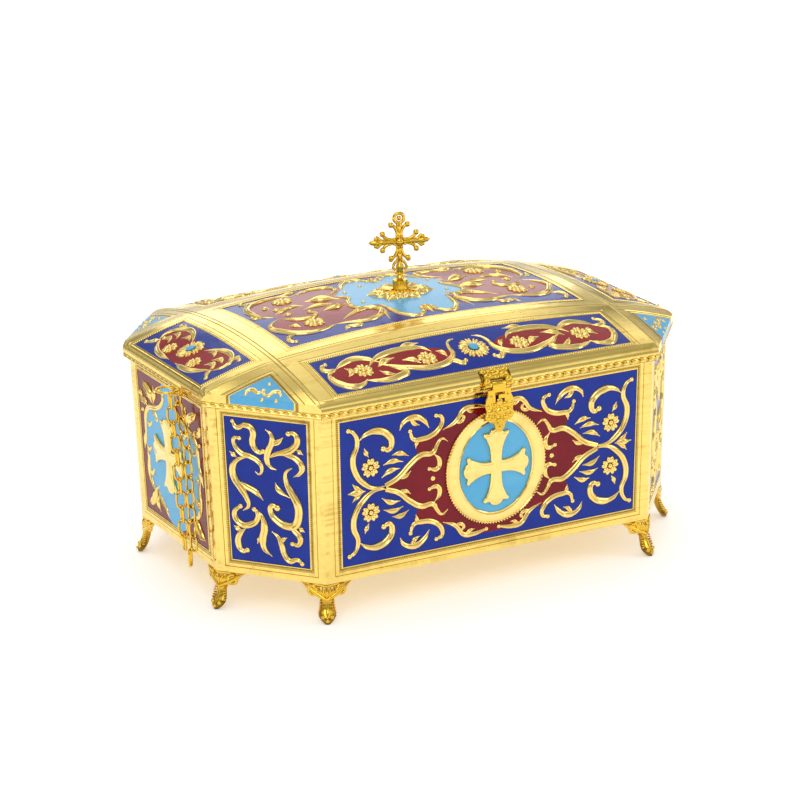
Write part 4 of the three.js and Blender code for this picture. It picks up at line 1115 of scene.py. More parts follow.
def lidGround(key):
    x0, y0, x1, y1 = lidBox(key)
    bm = bmesh.new()
    bmesh.ops.create_grid(bm, x_segments=round((x1 - x0) / 3.2), y_segments=round((y1 - y0) / 3.2), size=0.5)
    for vert in bm.verts:
        vert.co = (x0 + (vert.co.x + 0.5) * (x1 - x0), y0 + (vert.co.y + 0.5) * (y1 - y0), 0)
    drape(bm, casket["ground"])
    return bm


def lidField(ground, outline, level, material, corners=()):
    layer = field(outline, corners)
    cutCells(layer)
    drape(layer, casket["ground"] + 0.06 * level)
    merge(ground, layer, None, material)


lidTop = {
    "left": [
        scroll(3.4, "tip tip", (-80.8, 2), (-86, 7), (-87.5, 12.8), (-87.8, 19), (-87.5, 24.5), (-83.3, 32.8),
               (-76.7, 38.3), (-66.7, 39.5), (-58.3, 38.3), (-54, 34.8)),
        scroll(2.6, "tip tip", (-55, 35.3), (-50, 36.2), (-43.3, 39.5), (-36.7, 39.5), (-29.2, 36.2),
               (-28.3, 29.5),
               (-32, 24), (-38.3, 20.3)),
        scroll(3.4, "tip tip", (-80.8, -2.2), (-88.3, -8.8), (-90.8, -14.7), (-87.5, -23), (-81.7, -30.5),
               (-73.3, -33.8), (-64.2, -33), (-57.5, -30.5)),
        scroll(3, "tip ball", (-57.5, -30.5), (-50, -32.2), (-41.7, -35), (-34.2, -33.8), (-27.5, -28.8),
               (-25, -21.3), (-29.2, -17.2), (-37.5, -18.8)),
        scroll(2.8, "tip tip", (-79, 5.3), (-71.7, 10.3), (-64, 12.8), (-58.3, 10.3)),
        scroll(2.8, "tip ball", (-79, -3), (-73.3, -9.7), (-65, -12.2), (-59, -8), (-60.8, -3)),
        scroll(3, "tip tip", (-50.8, -26.3), (-41.7, -20.5), (-33.3, -16.3), (-26.7, -18.8), (-25, -25.5),
               (-27.5, -39.7)),
        scroll(3.2, "tip tip", (-80, 22.6), (-78, 21.6), (-75.5, 19.4)),
        scroll(2.8, "tip tip", (-77, 14.4), (-74, 13.7), (-70.6, 14.8)),
        scroll(2.8, "tip tip", (-75.6, 1.8), (-72.5, 1), (-69, 1.8)),
        scroll(2.8, "tip tip", (-81, -17), (-78, -18.8), (-75.6, -22)),
        scroll(5.4, "tip tip", (-54, 17), (-45, 14.6), (-35.6, 8.6)),
        scroll(4.6, "tip tip", (-54, -6.4), (-45, -4), (-36.4, -2.4)),
        scroll(3, "tip tip", (-62, 3.4), (-52, 4.4), (-42, 1.6)),
        scroll(3, "tip ball", (-76.7, 37.6), (-81, 38.6), (-83.3, 42.8)),
        scroll(2.6, "tip ball", (-83, -30.5), (-89, -33.5), (-90.4, -38), (-88, -41)),
        scroll(2.8, "tip tip", (-57, -42), (-54, -38.5), (-47, -39.5), (-43, -35.5)),
        scroll(2.4, "tip ball", (-87.4, 6), (-90.4, 8), (-91, 11)),
        scroll(2.6, "tip tip", (-60, 42.4), (-52, 41.8), (-46, 43.6)),
    ],
    "centre": [
        scroll(2.4, "tip tip", (-33, 17), (-35.8, 14.5), (-30.8, 7.8), (-35, -1.3), (-36.7, -8), (-33.3,
                                                                                                  -14.7),
               (-25, -15.5), (-21.7, -14.7)),
        scroll(2.8, "tip ball", (-21.7, -14.7), (-20.8, -18.8), (-20, -27.2), (-17.5, -36.3), (-11.7, -42.2),
               (-5, -38.8), (-3.3, -32.2)),
        scroll(2.8, "tip ball", (-27, 22), (-24, 30), (-20, 37), (-13, 42.4), (-6, 40), (-4.5, 34)),
    ],
    "flowers": [(-64, 27, 6, 5), (-66.7, -21.3, 6, 5)],
    "crimson": [(-80.8, 0), (-86, 7), (-87.8, 19), (-83.3, 32.8), (-76.7, 38.3), (-66.7, 39.5), (-55, 35.3),
                (-43.3, 39.5), (-36.7, 39.5), (-29.2, 36.2), (-20, 24), (-16, 0), (-20, -17), (-25, -21.3),
                (-27.5, -28.8), (-34.2, -33.8), (-41.7, -35), (-50, -32.2), (-57.5, -30.5), (-64.2, -33),
                (-73.3, -33.8), (-81.7, -30.5), (-87.5, -23), (-90.8, -14.7), (-88.3, -8.8)],
    "sky": [(-33, 17), (-35.8, 14.5), (-30.8, 7.8), (-35, -1.3), (-36.7, -8), (-33.3, -14.7), (-21.7, -14.7),
            (-20, -27.2), (-17.5, -36.3), (-11.7, -42.2), (-5, -39), (0, -33), (5, -39), (11.7, -42.2),
            (17.5, -36.3), (20, -27.2), (21.7, -14.7), (33.3, -14.7), (36.7, -8), (35, -1.3), (30.8, 7.8),
            (35.8, 14.5), (33, 17), (24, 30), (20, 37), (13, 42.4), (5, 40), (0, 34), (-5, 40), (-13, 42.4),
            (-20, 37), (-24, 30)],
    "leaves": 12, "leafX": 21, "leafY": 16.5,
}


def crossLeaves():
    leaves = []
    for index in range(lidTop["leaves"]):
        angle = (index + 0.5) * 2 * math.pi / lidTop["leaves"]
        reach = 1.0 if index % 2 else 0.82
        spots = [(r * reach * lidTop["leafX"] * math.cos(angle),
                  r * reach * lidTop["leafY"] * math.sin(angle))
                 for r in (0.3, 0.68, 1.0)]
        leaves.append(scroll(7.4, "broad tip", *spots))
    leaves.append(scroll(4, "tip tip", (0, -26), (0.4, -33), (0, -41)))
    leaves.append(scroll(4, "tip tip", (0, 27), (-0.4, 34), (0, 42)))
    return leaves


lidFront = {
    "left": [
        scroll(2.6, "ball tip", (-86.7, -74.2), (-89.6, -76), (-89.8, -80), (-86, -81.4), (-82, -80)),
        scroll(3.4, "tip tip", (-84.4, -82), (-89.2, -84.6), (-90, -90), (-87.5, -95.8), (-82.5, -100),
               (-75.4, -99),
               (-71, -95.4)),
        scroll(3.2, "tip tip", (-84.2, -80.8), (-76.7, -76.7), (-69.2, -75), (-62.5, -77.5), (-57, -82.4)),
        scroll(3.2, "tip tip", (-72.5, -95.8), (-66.7, -98.3), (-60, -99.6), (-52.5, -98.3), (-46.7, -95),
               (-50, -90.8), (-56.7, -84.2)),
        scroll(3.2, "tip tip", (-64.2, -84.2), (-60, -80), (-53.3, -77), (-43.3, -75.4), (-34.2, -75.8),
               (-27.5, -77.5), (-24, -82)),
        scroll(3, "tip tip", (-58.3, -84.2), (-50, -89.2), (-41.7, -93.3), (-33.3, -95.8), (-25, -95.4),
               (-18.3, -93), (-13.3, -87.5), (-12.5, -80.8), (-10, -75.8), (-5.8, -74.2)),
        scroll(2.6, "tip ball", (-19, -93.6), (-15, -94.4), (-12, -97), (-9.2, -95.2)),
        scroll(3, "tip tip", (-42, -74.4), (-35, -72.6), (-27, -72)),
        scroll(3, "tip tip", (-80, -90), (-76.5, -86), (-78.4, -81.4)),
        scroll(3.2, "tip tip", (-60, -86.6), (-55, -83), (-47, -81)),
        scroll(3, "tip tip", (-44, -84.6), (-38, -86.6), (-35, -90.4)),
        scroll(2.6, "tip tip", (-21.6, -82.4), (-18.6, -85), (-17.6, -89)),
        scroll(2.4, "tip tip", (-61, -90), (-58, -94), (-53, -95.4)),
    ],
    "flowers": [(-69.6, -87.5, 5.6, 5), (-29.6, -87.6, 5.6, 5)],
    "lobe": [(-84.2, -80.8), (-76.7, -76.7), (-69.2, -75), (-62.5, -77.5), (-60, -80), (-53.3, -77),
             (-43.3, -75.4),
             (-34.2, -75.8), (-27.5, -77.5), (-17, -82), (-13.3, -87.5), (-18.3, -93), (-25, -95.4),
             (-33.3, -95.8), (-41.7, -93.3), (-46.7, -95), (-52.5, -98.3), (-60, -99.6), (-66.7, -98.3),
             (-72.5, -95.8), (-76.7, -98.3), (-82.5, -100), (-87.5, -95.8), (-90, -88.3)],
    "rosette": (1, -85.8, 8.6, 10),
}
lidEnd = {
    "half": [
        scroll(2.8, "tip tip", (-130, 8.6), (-126.4, 14.3), (-123.6, 20.7), (-122.8, 27.9), (-125.2, 34.3),
               (-129, 38), (-133.6, 38.6), (-139, 35.6)),
        scroll(2.6, "tip ball", (-138, 35), (-141, 36.6), (-144.4, 41.4)),
        scroll(2.6, "tip ball", (-125, 33), (-122.4, 36), (-122.9, 39.6)),
        scroll(2.6, "tip tip", (-146.6, 4), (-147, 14), (-145.4, 24), (-141.4, 31), (-138, 35)),
        scroll(2.6, "tip tip", (-133, 24.4), (-129.4, 29), (-131, 34)),
        scroll(2.6, "tip ball", (-138, 25), (-134.6, 30), (-136.6, 33.4)),
        scroll(2.4, "tip tip", (-129.6, 13), (-128, 18), (-130.6, 22)),
    ],
    "flower": (-140.6, 16.4, 4.6, 5),
    "heart": [(-130, 0), (-126.4, 12.3), (-122.8, 27.9), (-125.2, 34.3), (-133.6, 38.6), (-141.4, 33),
              (-145.4, 24),
              (-147.2, 12), (-147, 0)],
    "rosette": (-134.3, 1.4, 8, 10),
}


def lidRelief(strokes, flowers, name, pellets=()):
    bm = reliefMesh(strokes, flowers, pellets)
    drape(bm, casket["ground"], True)
    addPiece(bm, name, "lid", ["giltRelief"], sharp=50)


def skyJewel(x, y, radius):
    # enamel in the heart of a rosette
    bm = bmesh.new()
    lump(bm, (x, y, 1.1), (0.34 * radius, 0.34 * radius, 0.9), 0, 12, 8)
    drape(bm, casket["ground"], True)
    return bm


def buildLidTop():
    ground = lidGround("top")
    for side in (1, -1):
        lidField(ground, [(side * x, y) for x, y in lidTop["crimson"]], 1, 1)
    lidField(ground, lidTop["sky"], 2, 2)
    addPiece(ground, "lidTopEnamel", "lid", ["enamelBlue", "enamelCherry", "enamelSky"], ["lid_panel_top"])
    strokes = bothSides(lidTop["left"]) + bothSides(lidTop["centre"]) + crossLeaves()
    flowers = [(s * x, y, radius, petals) for x, y, radius, petals in lidTop["flowers"] for s in (1, -1)]
    dots = [(s * x, y, 1.3) for x, y in ((-27.5, 17.8), (-27.5, -6.3), (-13.3, 26.2)) for s in (1, -1)]
    lidRelief(strokes, flowers, "lidTopRelief", dots)


def buildLidSide(key, node, side):
    title = key[0].upper() + key[1:]
    ground = lidGround(key)
    for sx in (1, -1):
        lidField(ground, [(sx * x, -side * y) for x, y in lidFront["lobe"]], 1, 1)
    x, y, radius, petals = lidFront["rosette"]
    merge(ground, skyJewel(x, -side * y, radius), None, 2)
    addPiece(ground, f"lidEnamel{title}", "lid", ["enamelBlue", "enamelCherry", "enamelSky"], [node])
    strokes = mirrored(bothSides(lidFront["left"]), 1, -side)
    flowers = [(s * fx, -side * fy, r, n) for fx, fy, r, n in lidFront["flowers"] for s in (1, -1)]
    lidRelief(strokes, flowers + [(x, -side * y, radius, petals)], f"lidRelief{title}")


def buildLidEnd(key, node, side):
    title = key[0].upper() + key[1:]
    ground = lidGround(key)
    half = [(-side * x, y) for x, y in lidEnd["heart"]]
    lidField(ground, half + [(x, -y) for x, y in reversed(half[1:-1])], 1, 1)
    x, y, radius, petals = lidEnd["rosette"]
    merge(ground, skyJewel(-side * x, y, radius), None, 2)
    addPiece(ground, f"lidEnamel{title}", "lid", ["enamelBlue", "enamelCherry", "enamelSky"], [node])
    strokes = mirrored(lidEnd["half"], -side, 1) + mirrored(lidEnd["half"], -side, -1)
    fx, fy, fr, fn = lidEnd["flower"]
    flowers = [(-side * fx, fy, fr, fn), (-side * fx, -fy, fr, fn), (-side * x, y, radius, petals)]
    lidRelief(strokes, flowers, f"lidRelief{title}")


lidCorner = {
    "curls": [
        scroll(2.2, "ball ball", (-135.4, -73.6), (-133, -71.8), (-130.6, -73.4), (-130, -77), (-127.4,
                                                                                                -78.4)),
        scroll(2.2, "ball ball", (-121, -88), (-120.6, -84.6), (-123, -83), (-126.4, -83.6), (-127.6, -80.8)),
        scroll(2, "tip tip", (-129, -80.6), (-126.6, -78), (-124.4, -78.4)),
    ],
    "dots": [(-121.6, -75.2, 1.3), (-130.3, -83.8, 1.1), (-124.9, -90.2, 1.1)],
}


def buildLidCorner(name, node, sx, sy):
    legX, legY = lid["triangle"]
    corners = plan(lidX - halfLength)
    a = Vector((abs(corners[1].x), abs(corners[1].y)))
    b = Vector((abs(corners[2].x), abs(corners[2].y)))
    slope = (b.y - a.y) / (b.x - a.x)
    endX = a.x + (legY - a.y) / slope
    endY = a.y + (legX - a.x) * slope
    bm = field([(legX - 0.05, legY - 0.05), (endX + 0.04, legY - 0.05), (legX - 0.05, endY + 0.04)], (0,
                                                                                                      1, 2))
    cutCells(bm)
    drape(bm, 0.05)
    out = Vector((b.y - a.y, a.x - b.x)).normalized()
    out = out if out.x > 0 else -out
    front = bmesh.new()
    row = []
    for step in range(9):
        x = endX + (legX - endX) * step / 8
        y = legY + (endY - legY) * step / 8
        row.append(front.verts.new((x + 0.08 * out.x, y + 0.08 * out.y, lidHeight(x, y) + 0.05)))
    edges = [front.edges.new(pair) for pair in zip(row, row[1:])]
    for item in bmesh.ops.extrude_edge_only(front, edges=edges)["geom"]:
        if isinstance(item, bmesh.types.BMVert):
            item.co.z = seatZ + 0.35
    merge(bm, front)
    bmesh.ops.remove_doubles(bm, verts=bm.verts, dist=0.12)
    bmesh.ops.transform(bm, matrix=Matrix.Diagonal((sx, sy, 1, 1)), verts=bm.verts)
    bmesh.ops.recalc_face_normals(bm, faces=bm.faces)
    if max(bm.faces, key=lambda f: f.calc_area()).normal.z < 0:
        bmesh.ops.reverse_faces(bm, faces=bm.faces)
    addPiece(bm, f"lidEnamel{name}", "lid", ["enamelSky"], [node], sharp=60)
    strokes = mirrored(lidCorner["curls"], -sx, -sy)
    dots = [(-sx * x, -sy * y, r) for x, y, r in lidCorner["dots"]]
    lidRelief(strokes, (), f"lidRelief{name}", dots)


def buildLidBeads():
    bm = bmesh.new()
    for key in ("top", "front", "back", "left", "right"):
        x0, y0, x1, y1 = lidBox(key, 1.2)
        addBeads(bm, [(x0, y0), (x1, y0), (x1, y1), (x0, y1)], lambda x, y: Matrix.Translation(
            (x, y, seatZ + 0.6 + (lidHeight(x, y) - seatZ - 0.5) * borderEase(x, y))))
    addPiece(bm, "lidMilledRows", "lid", ["giltSheet"])


buildLidShell()
buildLidTop()
buildLidSide("front", "lid_panel_front", -1)
buildLidSide("back", "lid_panel_back", 1)
buildLidEnd("left", "lid_panel_left_end", -1)
buildLidEnd("right", "lid_panel_right_end", 1)
for name, node, sx, sy in (("FrontLeft", "lid_panel_front_left", -1, -1),
                           ("FrontRight", "lid_panel_front_right", 1, -1),
                           ("BackRight", "lid_panel_back_right", 1, 1), ("BackLeft",
                                                                         "lid_panel_back_left", -1, 1)):
    buildLidCorner(name, node, sx, sy)
buildLidBeads()
print("lid ready")


# Cast parts

def tube(paths, radius, closed=False, steps=5, resolution=2):
    # round wire along paths in space, its thickness given point by point
    curve = bpy.data.curves.new("wire", "CURVE")
    curve.dimensions = "3D"
    curve.resolution_u = steps
    curve.bevel_depth = radius
    curve.bevel_resolution = resolution
    curve.use_fill_caps = not closed
    for path, widths in paths:
        addSpline(curve, path, widths, closed)
    return meshOf(curve)


foot = {
    # depth, outwards, half width, half depth
    "legOut": [(7, -3.2, 4.2, 2.3), (10, -3.1, 3.5, 2.0), (13, -2.6, 3.7, 2.0), (16.2, -1.2, 4.8, 2.3),
               (18.4, 0.1, 5.0, 2.6), (20.6, 1.2, 3.5, 2.4), (22.4, 1.8, 1.6, 1.5)],
    "volute": (9.2, -4.6, 3.3), "voluteTurns": 1.6,
    "notches": 7,
}


def footLeg(bm):
    rings = foot["legOut"]
    first = bmesh.ops.create_circle(bm, cap_ends=True, segments=14, radius=1)["verts"]
    face = first[0].link_faces[0]
    for index, (z, out, half, deep) in enumerate(rings):
        if index:
            face = bmesh.ops.extrude_discrete_faces(bm, faces=[face])["faces"][0]
        angles = [i * 2 * math.pi / 14 for i in range(14)]
        verts = first if index == 0 else list(face.verts)
        for vert, angle in zip(verts, angles):
            vert.co = (half * math.cos(angle), out + deep * math.sin(angle), -z)
    return bm


def footParts():
    bm = bmesh.new()
    footLeg(bm)
    # wings of the bracket: a bar under the box, a leaf down to the leg and a curled volute
    for side in (1, -1):
        bars = [([(0, -1.6, -0.9), (side * 8, -1.6, -1.0), (side * 15.6, -1.6, -0.9)], [1.5, 1.3, 0.4]),
                ([(side * 14.5, -1.2, -1.2), (side * 11.4, -0.9, -3.2), (side * 6, -0.7, -6.6), (0, -0.6,
                                                                                                 -9.4)],
                 [0.5, 1.2, 1.5, 1.0])]
        cx, cz, radius = foot["volute"]
        curl, widths = [], []
        for step in range(11):
            t = step / 10
            angle = math.pi * (0.35 + 2 * foot["voluteTurns"] * t)
            reach = radius * (1 - 0.78 * t)
            curl.append((side * (cx + reach * math.cos(angle)), -0.4 - 0.5 * t, cz + reach * math.sin(angle)))
            widths.append(1.15 - 0.45 * t)
        bars.append((curl, widths))
        for x, z in ((2.4, -1.4), (4.8, -2.0), (7, -1.6)):
            bars.append(([(side * 0.6, -1.4, -8.6), (side * x * 0.7, -1.0, -5), (side * x, -1.6, z)],
                         [0.5, 1.1, 0.6]))
        merge(bm, tube(bars, 1, False, 5, 2))
        lump(bm, (side * cx, -1.0, cz), (1.0, 0.9, 1.0), 0, 8, 6)
        for step in range(foot["notches"]):
            t = step / (foot["notches"] - 1)
            z = 8.4 + 8.2 * t
            out = -3.0 + 2.4 * t
            half = 3.7 + 0.9 * t * t
            lump(bm, (side * half, out + 0.7, -z), (0.75, 1.1, 0.5), 0, 6, 4)
    merge(bm, tube([([(0, -1.2, -8.8), (0, -0.7, -5), (0, -1.4, -1.2)], [0.6, 1.2, 0.7]),
                    ([(0, -1.2, -10), (0, -0.6, -13), (0, 1.0, -16.6), (0, 2.8, -19.4)], [0.7, 0.9, 1.0,
                                                                                          0.5])], 1))
    for x, out, z, size in ((-2.4, 2.0, -18.4, 1.4), (2.4, 2.0, -18.4, 1.4), (0, 3.2, -20.3, 1.25)):
        lump(bm, (x, out, z), (size, size, size * 0.9), 0, 8, 6)
    return bm


def buildFeet():
    names = ["right_front", "right_back", "back_right", "back_left", "left_back", "left_front", "front_left",
             "front_right"]
    corners = plan(drawnIn(footZ))
    pattern = bpy.data.meshes.new("footPattern")
    cast = footParts()
    cast.to_mesh(pattern)
    cast.free()
    for index, name in enumerate(names):
        corner = corners[index]
        before = (corners[(index + 7) % 8] - corner).normalized()
        after = (corners[(index + 1) % 8] - corner).normalized()
        outwards = -(before + after).normalized()
        fold = math.pi / 2 - math.acos(-outwards.dot(after))
        bm = bmesh.new()
        bm.from_mesh(pattern)
        for vert in bm.verts:
            x, y = vert.co.x, vert.co.y
            bend = min(1, abs(x) / 3) if vert.co.z > -9.8 else 0
            vert.co.x = x * (1 - bend * (1 - math.cos(fold)))
            vert.co.y = y - bend * abs(x) * math.sin(fold)
            vert.co.z = min(-0.1, max(vert.co.z, -footZ + 0.02))
        turn = math.atan2(outwards.y, outwards.x) - math.pi / 2
        place = Matrix.Translation((corner.x, corner.y, footZ)) @ Matrix.Rotation(turn, 4, "Z")
        bmesh.ops.transform(bm, matrix=place, verts=bm.verts)
        title = "".join(part.capitalize() for part in name.split("_"))
        addPiece(bm, f"foot{title}", "casket", ["giltCasting"], [f"foot_{name}"], sharp=60)
    bpy.data.meshes.remove(pattern)


cross = {"turn": -16, "heart": 30.5, "arm": 18.4, "boss": 2.3}


def crossArmParts(bm, direction, length, kind):
    # direction is in the cross's own face: X across and Z up
    dx, dz = direction
    sx, sz = -dz, dx

    def at(along, side, y=0.0):
        return (dx * along + sx * side, y, dz * along + sz * side)

    paths = [([at(1, 0), at(length * 0.3, 0), at(length * 0.55, 0), at(length * 0.7, 0)], [1.6, 1.3, 1.5,
                                                                                           1.0])]
    for side in (1, -1):
        paths.append(([at(2, side * 1.2), at(5.5, side * 1.4), at(8.4, side * 2.6), at(10, side * 4.3)],
                      [1.0, 0.95, 1.05, 0.9]))
        paths.append(([at(9, side * 1.0), at(11, side * 1.2), at(12.6, side * 2.6), at(13.6, side * 3.6)],
                      [0.8, 0.95, 0.95, 0.7]))
        lump(bm, at(10, side * 4.9), (1.75, 1.6, 1.75), 0, 10, 8)
    if kind == "tip":
        paths.append(([at(11, 0), at(14, 0), at(16.4, 0), at(length, 0)], [1.2, 1.9, 1.5, 0.2]))
        for side in (1, -1):
            lump(bm, at(14, side * 2.2), (1.3, 1.2, 1.3), 0, 8, 6)
    merge(bm, tube(paths, 1, False, 5, 2))
    lump(bm, at(6.4, 0, -1.1), (1.0, 0.8, 1.0), 0, 8, 6)
    lump(bm, at(6.4, 0, 1.1), (1.0, 0.8, 1.0), 0, 8, 6)


def buildCross():
    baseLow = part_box("cross_base")[0].z * 1000
    heart = baseLow + cross["heart"]
    bm = bmesh.new()
    crossArmParts(bm, (1, 0), cross["arm"], "tip")
    crossArmParts(bm, (-1, 0), cross["arm"], "tip")
    crossArmParts(bm, (0, 1), 16, "loop")
    crossArmParts(bm, (0, -1), 16, "stem")
    for y in (-1, 1):
        lump(bm, (0, 1.7 * y, 0), (cross["boss"], 1.5, cross["boss"]), 0, 12, 8)
        for index in range(8):
            angle = (index + 0.5) * math.pi / 4
            lump(bm, (3.3 * math.cos(angle), 1.5 * y, 3.3 * math.sin(angle)), (0.95, 0.9, 0.95), 0, 8, 6)
    loop = [(2.9 * math.cos(i * math.pi / 4), 0, 13.9 + 2.9 * math.sin(i * math.pi / 4)) for i in range(8)]
    merge(bm, tube([(loop, [1.05] * 8)], 1, True))
    lump(bm, (0, 0, 13.9), (1.5, 1.4, 1.5), 0, 8, 6)
    stem = [([(0, 0, -9), (0, 0, -12.6), (0, 0, -15), (0, 0, -17), (0, 0, -19.4), (0, 0, -22.4)],
             [1.5, 1.3, 2.4, 2.0, 1.4, 2.4])]
    for side in (1, -1):
        stem.append(([(side * 1.2, 0, -11.6), (side * 3.2, 0, -13.2), (side * 3.9, 0, -15.6), (side * 2.6,
                                                                                               0, -17.2)],
                     [0.9, 0.9, 0.8, 0.7]))
        lump(bm, (side * 5.2, 0, -10.8), (1.5, 1.4, 1.5), 0, 8, 6)
    merge(bm, tube(stem, 1, False, 6, 3))
    ring = [(2.5 * math.cos(i * math.pi / 4), 2.5 * math.sin(i * math.pi / 4), -18.8) for i in range(8)]
    merge(bm, tube([(ring, [0.7] * 8)], 1, True))
    place = Matrix.Translation((0, 0, heart)) @ Matrix.Rotation(math.radians(cross["turn"]), 4, "Z")
    bmesh.ops.transform(bm, matrix=place, verts=bm.verts)
    addPiece(bm, "cross", "lid", ["giltCasting"], ["cross"], sharp=60)

    base = bmesh.new()
    profile = [(0.01, 0), (5.2, 0), (5.2, 0.5), (4.6, 0.8), (4.5, 1.1), (4.5, 7.0), (4.1, 7.5), (3.2,
                                                                                                 7.8),
                                                                                                 (0.01, 7.8)]
    verts = [base.verts.new((r, 0, baseLow + z)) for r, z in profile]
    edges = [base.edges.new(pair) for pair in zip(verts, verts[1:])]
    bmesh.ops.spin(base, geom=verts + edges, cent=(0, 0, 0), axis=(0, 0, 1), angle=2 * math.pi, steps=32,
                   use_merge=True)
    bmesh.ops.remove_doubles(base, verts=base.verts, dist=0.02)
    bmesh.ops.recalc_face_normals(base, faces=base.faces)
    addPiece(base, "crossSocket", "lid", ["giltCasting"], ["cross_base"], sharp=30)


hasp = {
    "x": 1, "y": -113.7, "z": 0.3, "knuckle": 4.6, "half": 9, "barrel": 1.6,
    "outline": [(7.4, -2.6), (7.4, -6), (8.6, -8.6), (9.2, -12), (8.4, -15.4), (9.2, -18.4), (6.6, -21.4),
                (3.9, -22.6),
                (2.8, -25.6), (0, -28)],
    "slot": [(-2.6, -4.7), (3.2, -4.7), (3.2, -10.6), (-2.6, -10.6)],
    "boss": (0, -15.6, 5.2),
}


def barrelBetween(bm, x0, x1, y, z, radius):
    turn = Matrix.Translation(((x0 + x1) / 2, y, z)) @ Matrix.Rotation(math.pi / 2, 4, "Y")
    made = bmesh.ops.create_cone(bm, cap_ends=True, segments=20, radius1=radius, radius2=radius,
                                 depth=x1 - x0, matrix=turn)["verts"]
    rims = [e for v in made for e in v.link_edges if any(len(f.verts) > 4 for f in e.link_faces)]
    bmesh.ops.bevel(bm, geom=list(set(rims)), offset=0.25, segments=2, profile=0.5, affect="EDGES",
                    material=-1)


def buildHasp():
    x, y, z = hasp["x"], hasp["y"], seatZ + hasp["z"]
    upright = Matrix.Rotation(math.pi / 2, 4, "X")
    half = hasp["outline"]
    outline = half + [(-px, pz) for px, pz in reversed(half[:-1])]
    strap = cutPlate([outline, hasp["slot"]], 1.3, 0.3, 4, [(0, len(outline) - 1), (0, 1, 2, 3)])
    bx, bz, radius = hasp["boss"]
    for index in range(8):
        angle = index * math.pi / 4
        size = 2.1 if index % 2 else 2.6
        lump(strap, (bx + radius * math.cos(angle), bz + radius * math.sin(angle), 1.2), (size,
                                                                                          size * 0.8,
                                                                                          1.0), angle,
             8, 6)
    lump(strap, (bx, bz, 1.5), (2.5, 2.5, 1.2), 0.4, 6, 4)
    lump(strap, (0, -22.4, 1.1), (3.3, 2.6, 1.0), math.pi / 4, 4, 4)
    lump(strap, (0, -25.6, 1.0), (1.4, 2.3, 0.8), 0, 6, 4)
    for side in (1, -1):
        lump(strap, (side * 5.4, -8, 1.1), (1.4, 3.0, 0.5), 0, 8, 6)
        lump(strap, (side * 7.6, -12.2, 1.0), (1.4, 1.8, 0.8), 0, 8, 6)
        lump(strap, (side * 7.0, -18.6, 1.0), (1.9, 1.9, 0.9), 0, 8, 6)
        lump(strap, (side * 3.6, -20.8, 1.2), (1.6, 1.6, 0.8), 0, 8, 6)
    bmesh.ops.transform(strap, matrix=Matrix.Translation((x, y - 0.1, z)) @ upright, verts=strap.verts)
    neck = cutPlate([[(-4.2, -0.2), (4.2, -0.2), (4.2, -3), (-4.2, -3)]], 1.3, 0.2, 1, [(0, 1, 2, 3)])
    merge(strap, neck, Matrix.Translation((x, y - 0.1, z)) @ upright)
    barrelBetween(strap, x - hasp["knuckle"] + 0.3, x + hasp["knuckle"] - 0.3, y, z, hasp["barrel"])
    addPiece(strap, "haspStrap", "hasp", ["giltCasting"], ["hasp_strap"], sharp=45)

    plate = bmesh.new()
    bmesh.ops.create_grid(plate, x_segments=10, y_segments=10, size=0.5)
    for vert in plate.verts:
        angle = math.radians(20 + 70 * (vert.co.y + 0.5))
        vert.co = (x + vert.co.x * 2 * hasp["half"],
                   -(lidY - lid["border"] + (lid["border"] + 0.35) * math.cos(angle)),
                   seatZ + (5.6 + 0.45) * math.sin(angle))
    bmesh.ops.recalc_face_normals(plate, faces=plate.faces)
    if plate.faces[:][0].normal.y > 0:
        bmesh.ops.reverse_faces(plate, faces=plate.faces)
    bmesh.ops.solidify(plate, geom=plate.faces[:], thickness=-1.0)
    petals = [(0, 55, 3.2, 3.4), (-5, 45, 2.8, 2.4), (5, 45, 2.8, 2.4), (-7, 72, 2.2, 2.2), (7, 72, 2.2, 2.2),
              (0, 84, 2.6, 2.0), (-3.4, 70, 1.8, 1.8), (3.4, 70, 1.8, 1.8), (0, 34, 2.2, 1.6)]
    for dx, degrees, sizeX, sizeZ in petals:
        angle = math.radians(degrees)
        spot = (x + dx, -(lidY - lid["border"] + (lid["border"] + 1.2) * math.cos(angle)),
                seatZ + (5.6 + 1.2) * math.sin(angle))
        lump(plate, spot, (sizeX, 1.1, sizeZ * 0.7), 0, 8, 6)
    for x0, x1 in ((-hasp["half"], -hasp["knuckle"]), (hasp["knuckle"], hasp["half"])):
        barrelBetween(plate, x + x0, x + x1, y, z, hasp["barrel"])
        lump(plate, (x + (x0 + x1) / 2, y + 0.3, z + 1.9), (2.2, 1.3, 2.0), 0, 8, 6)
    barrelBetween(plate, x - hasp["half"], x + hasp["half"], y, z, 0.8)
    addPiece(plate, "haspPlate", "lid", ["giltCasting"], ["hasp_plate"], sharp=50)


chain = {
    "wire": 0.72, "links": 11, "half": (2.35, 4.95),
    "outer": [(-162.6, -31.9), (-159.5, -32.6, 80), (-157.8, -33.6, 31)],
    "inner": [(-155.6, -25.4), (-155.3, -26.6, 112), (-154.1, -33, 92), (-154, -37.4, 31)],
    "joint": [(-155.9, -35.6, 32), (-155.7, -35.8, 20)],
    "turns": {"outer": 1.4, "inner": 1.9, "joint": 0.9},
    "ring": (-161.6, -25.9, 6.1),
}
eyeZ = rimZ + 4


def linkPattern():
    w, l = chain["half"]
    path = [(w, 0, l * 0.5), (w * 0.72, 0, l * 0.86), (0, 0, l), (-w * 0.72, 0, l * 0.86), (-w, 0, l * 0.5),
            (-w, 0, -l * 0.5), (-w * 0.72, 0, -l * 0.86), (0, 0, -l), (w * 0.72, 0, -l * 0.86), (w, 0,
                                                                                                 -l * 0.5)]
    return tube([(path, [1] * len(path))], chain["wire"], True, 3, 1)


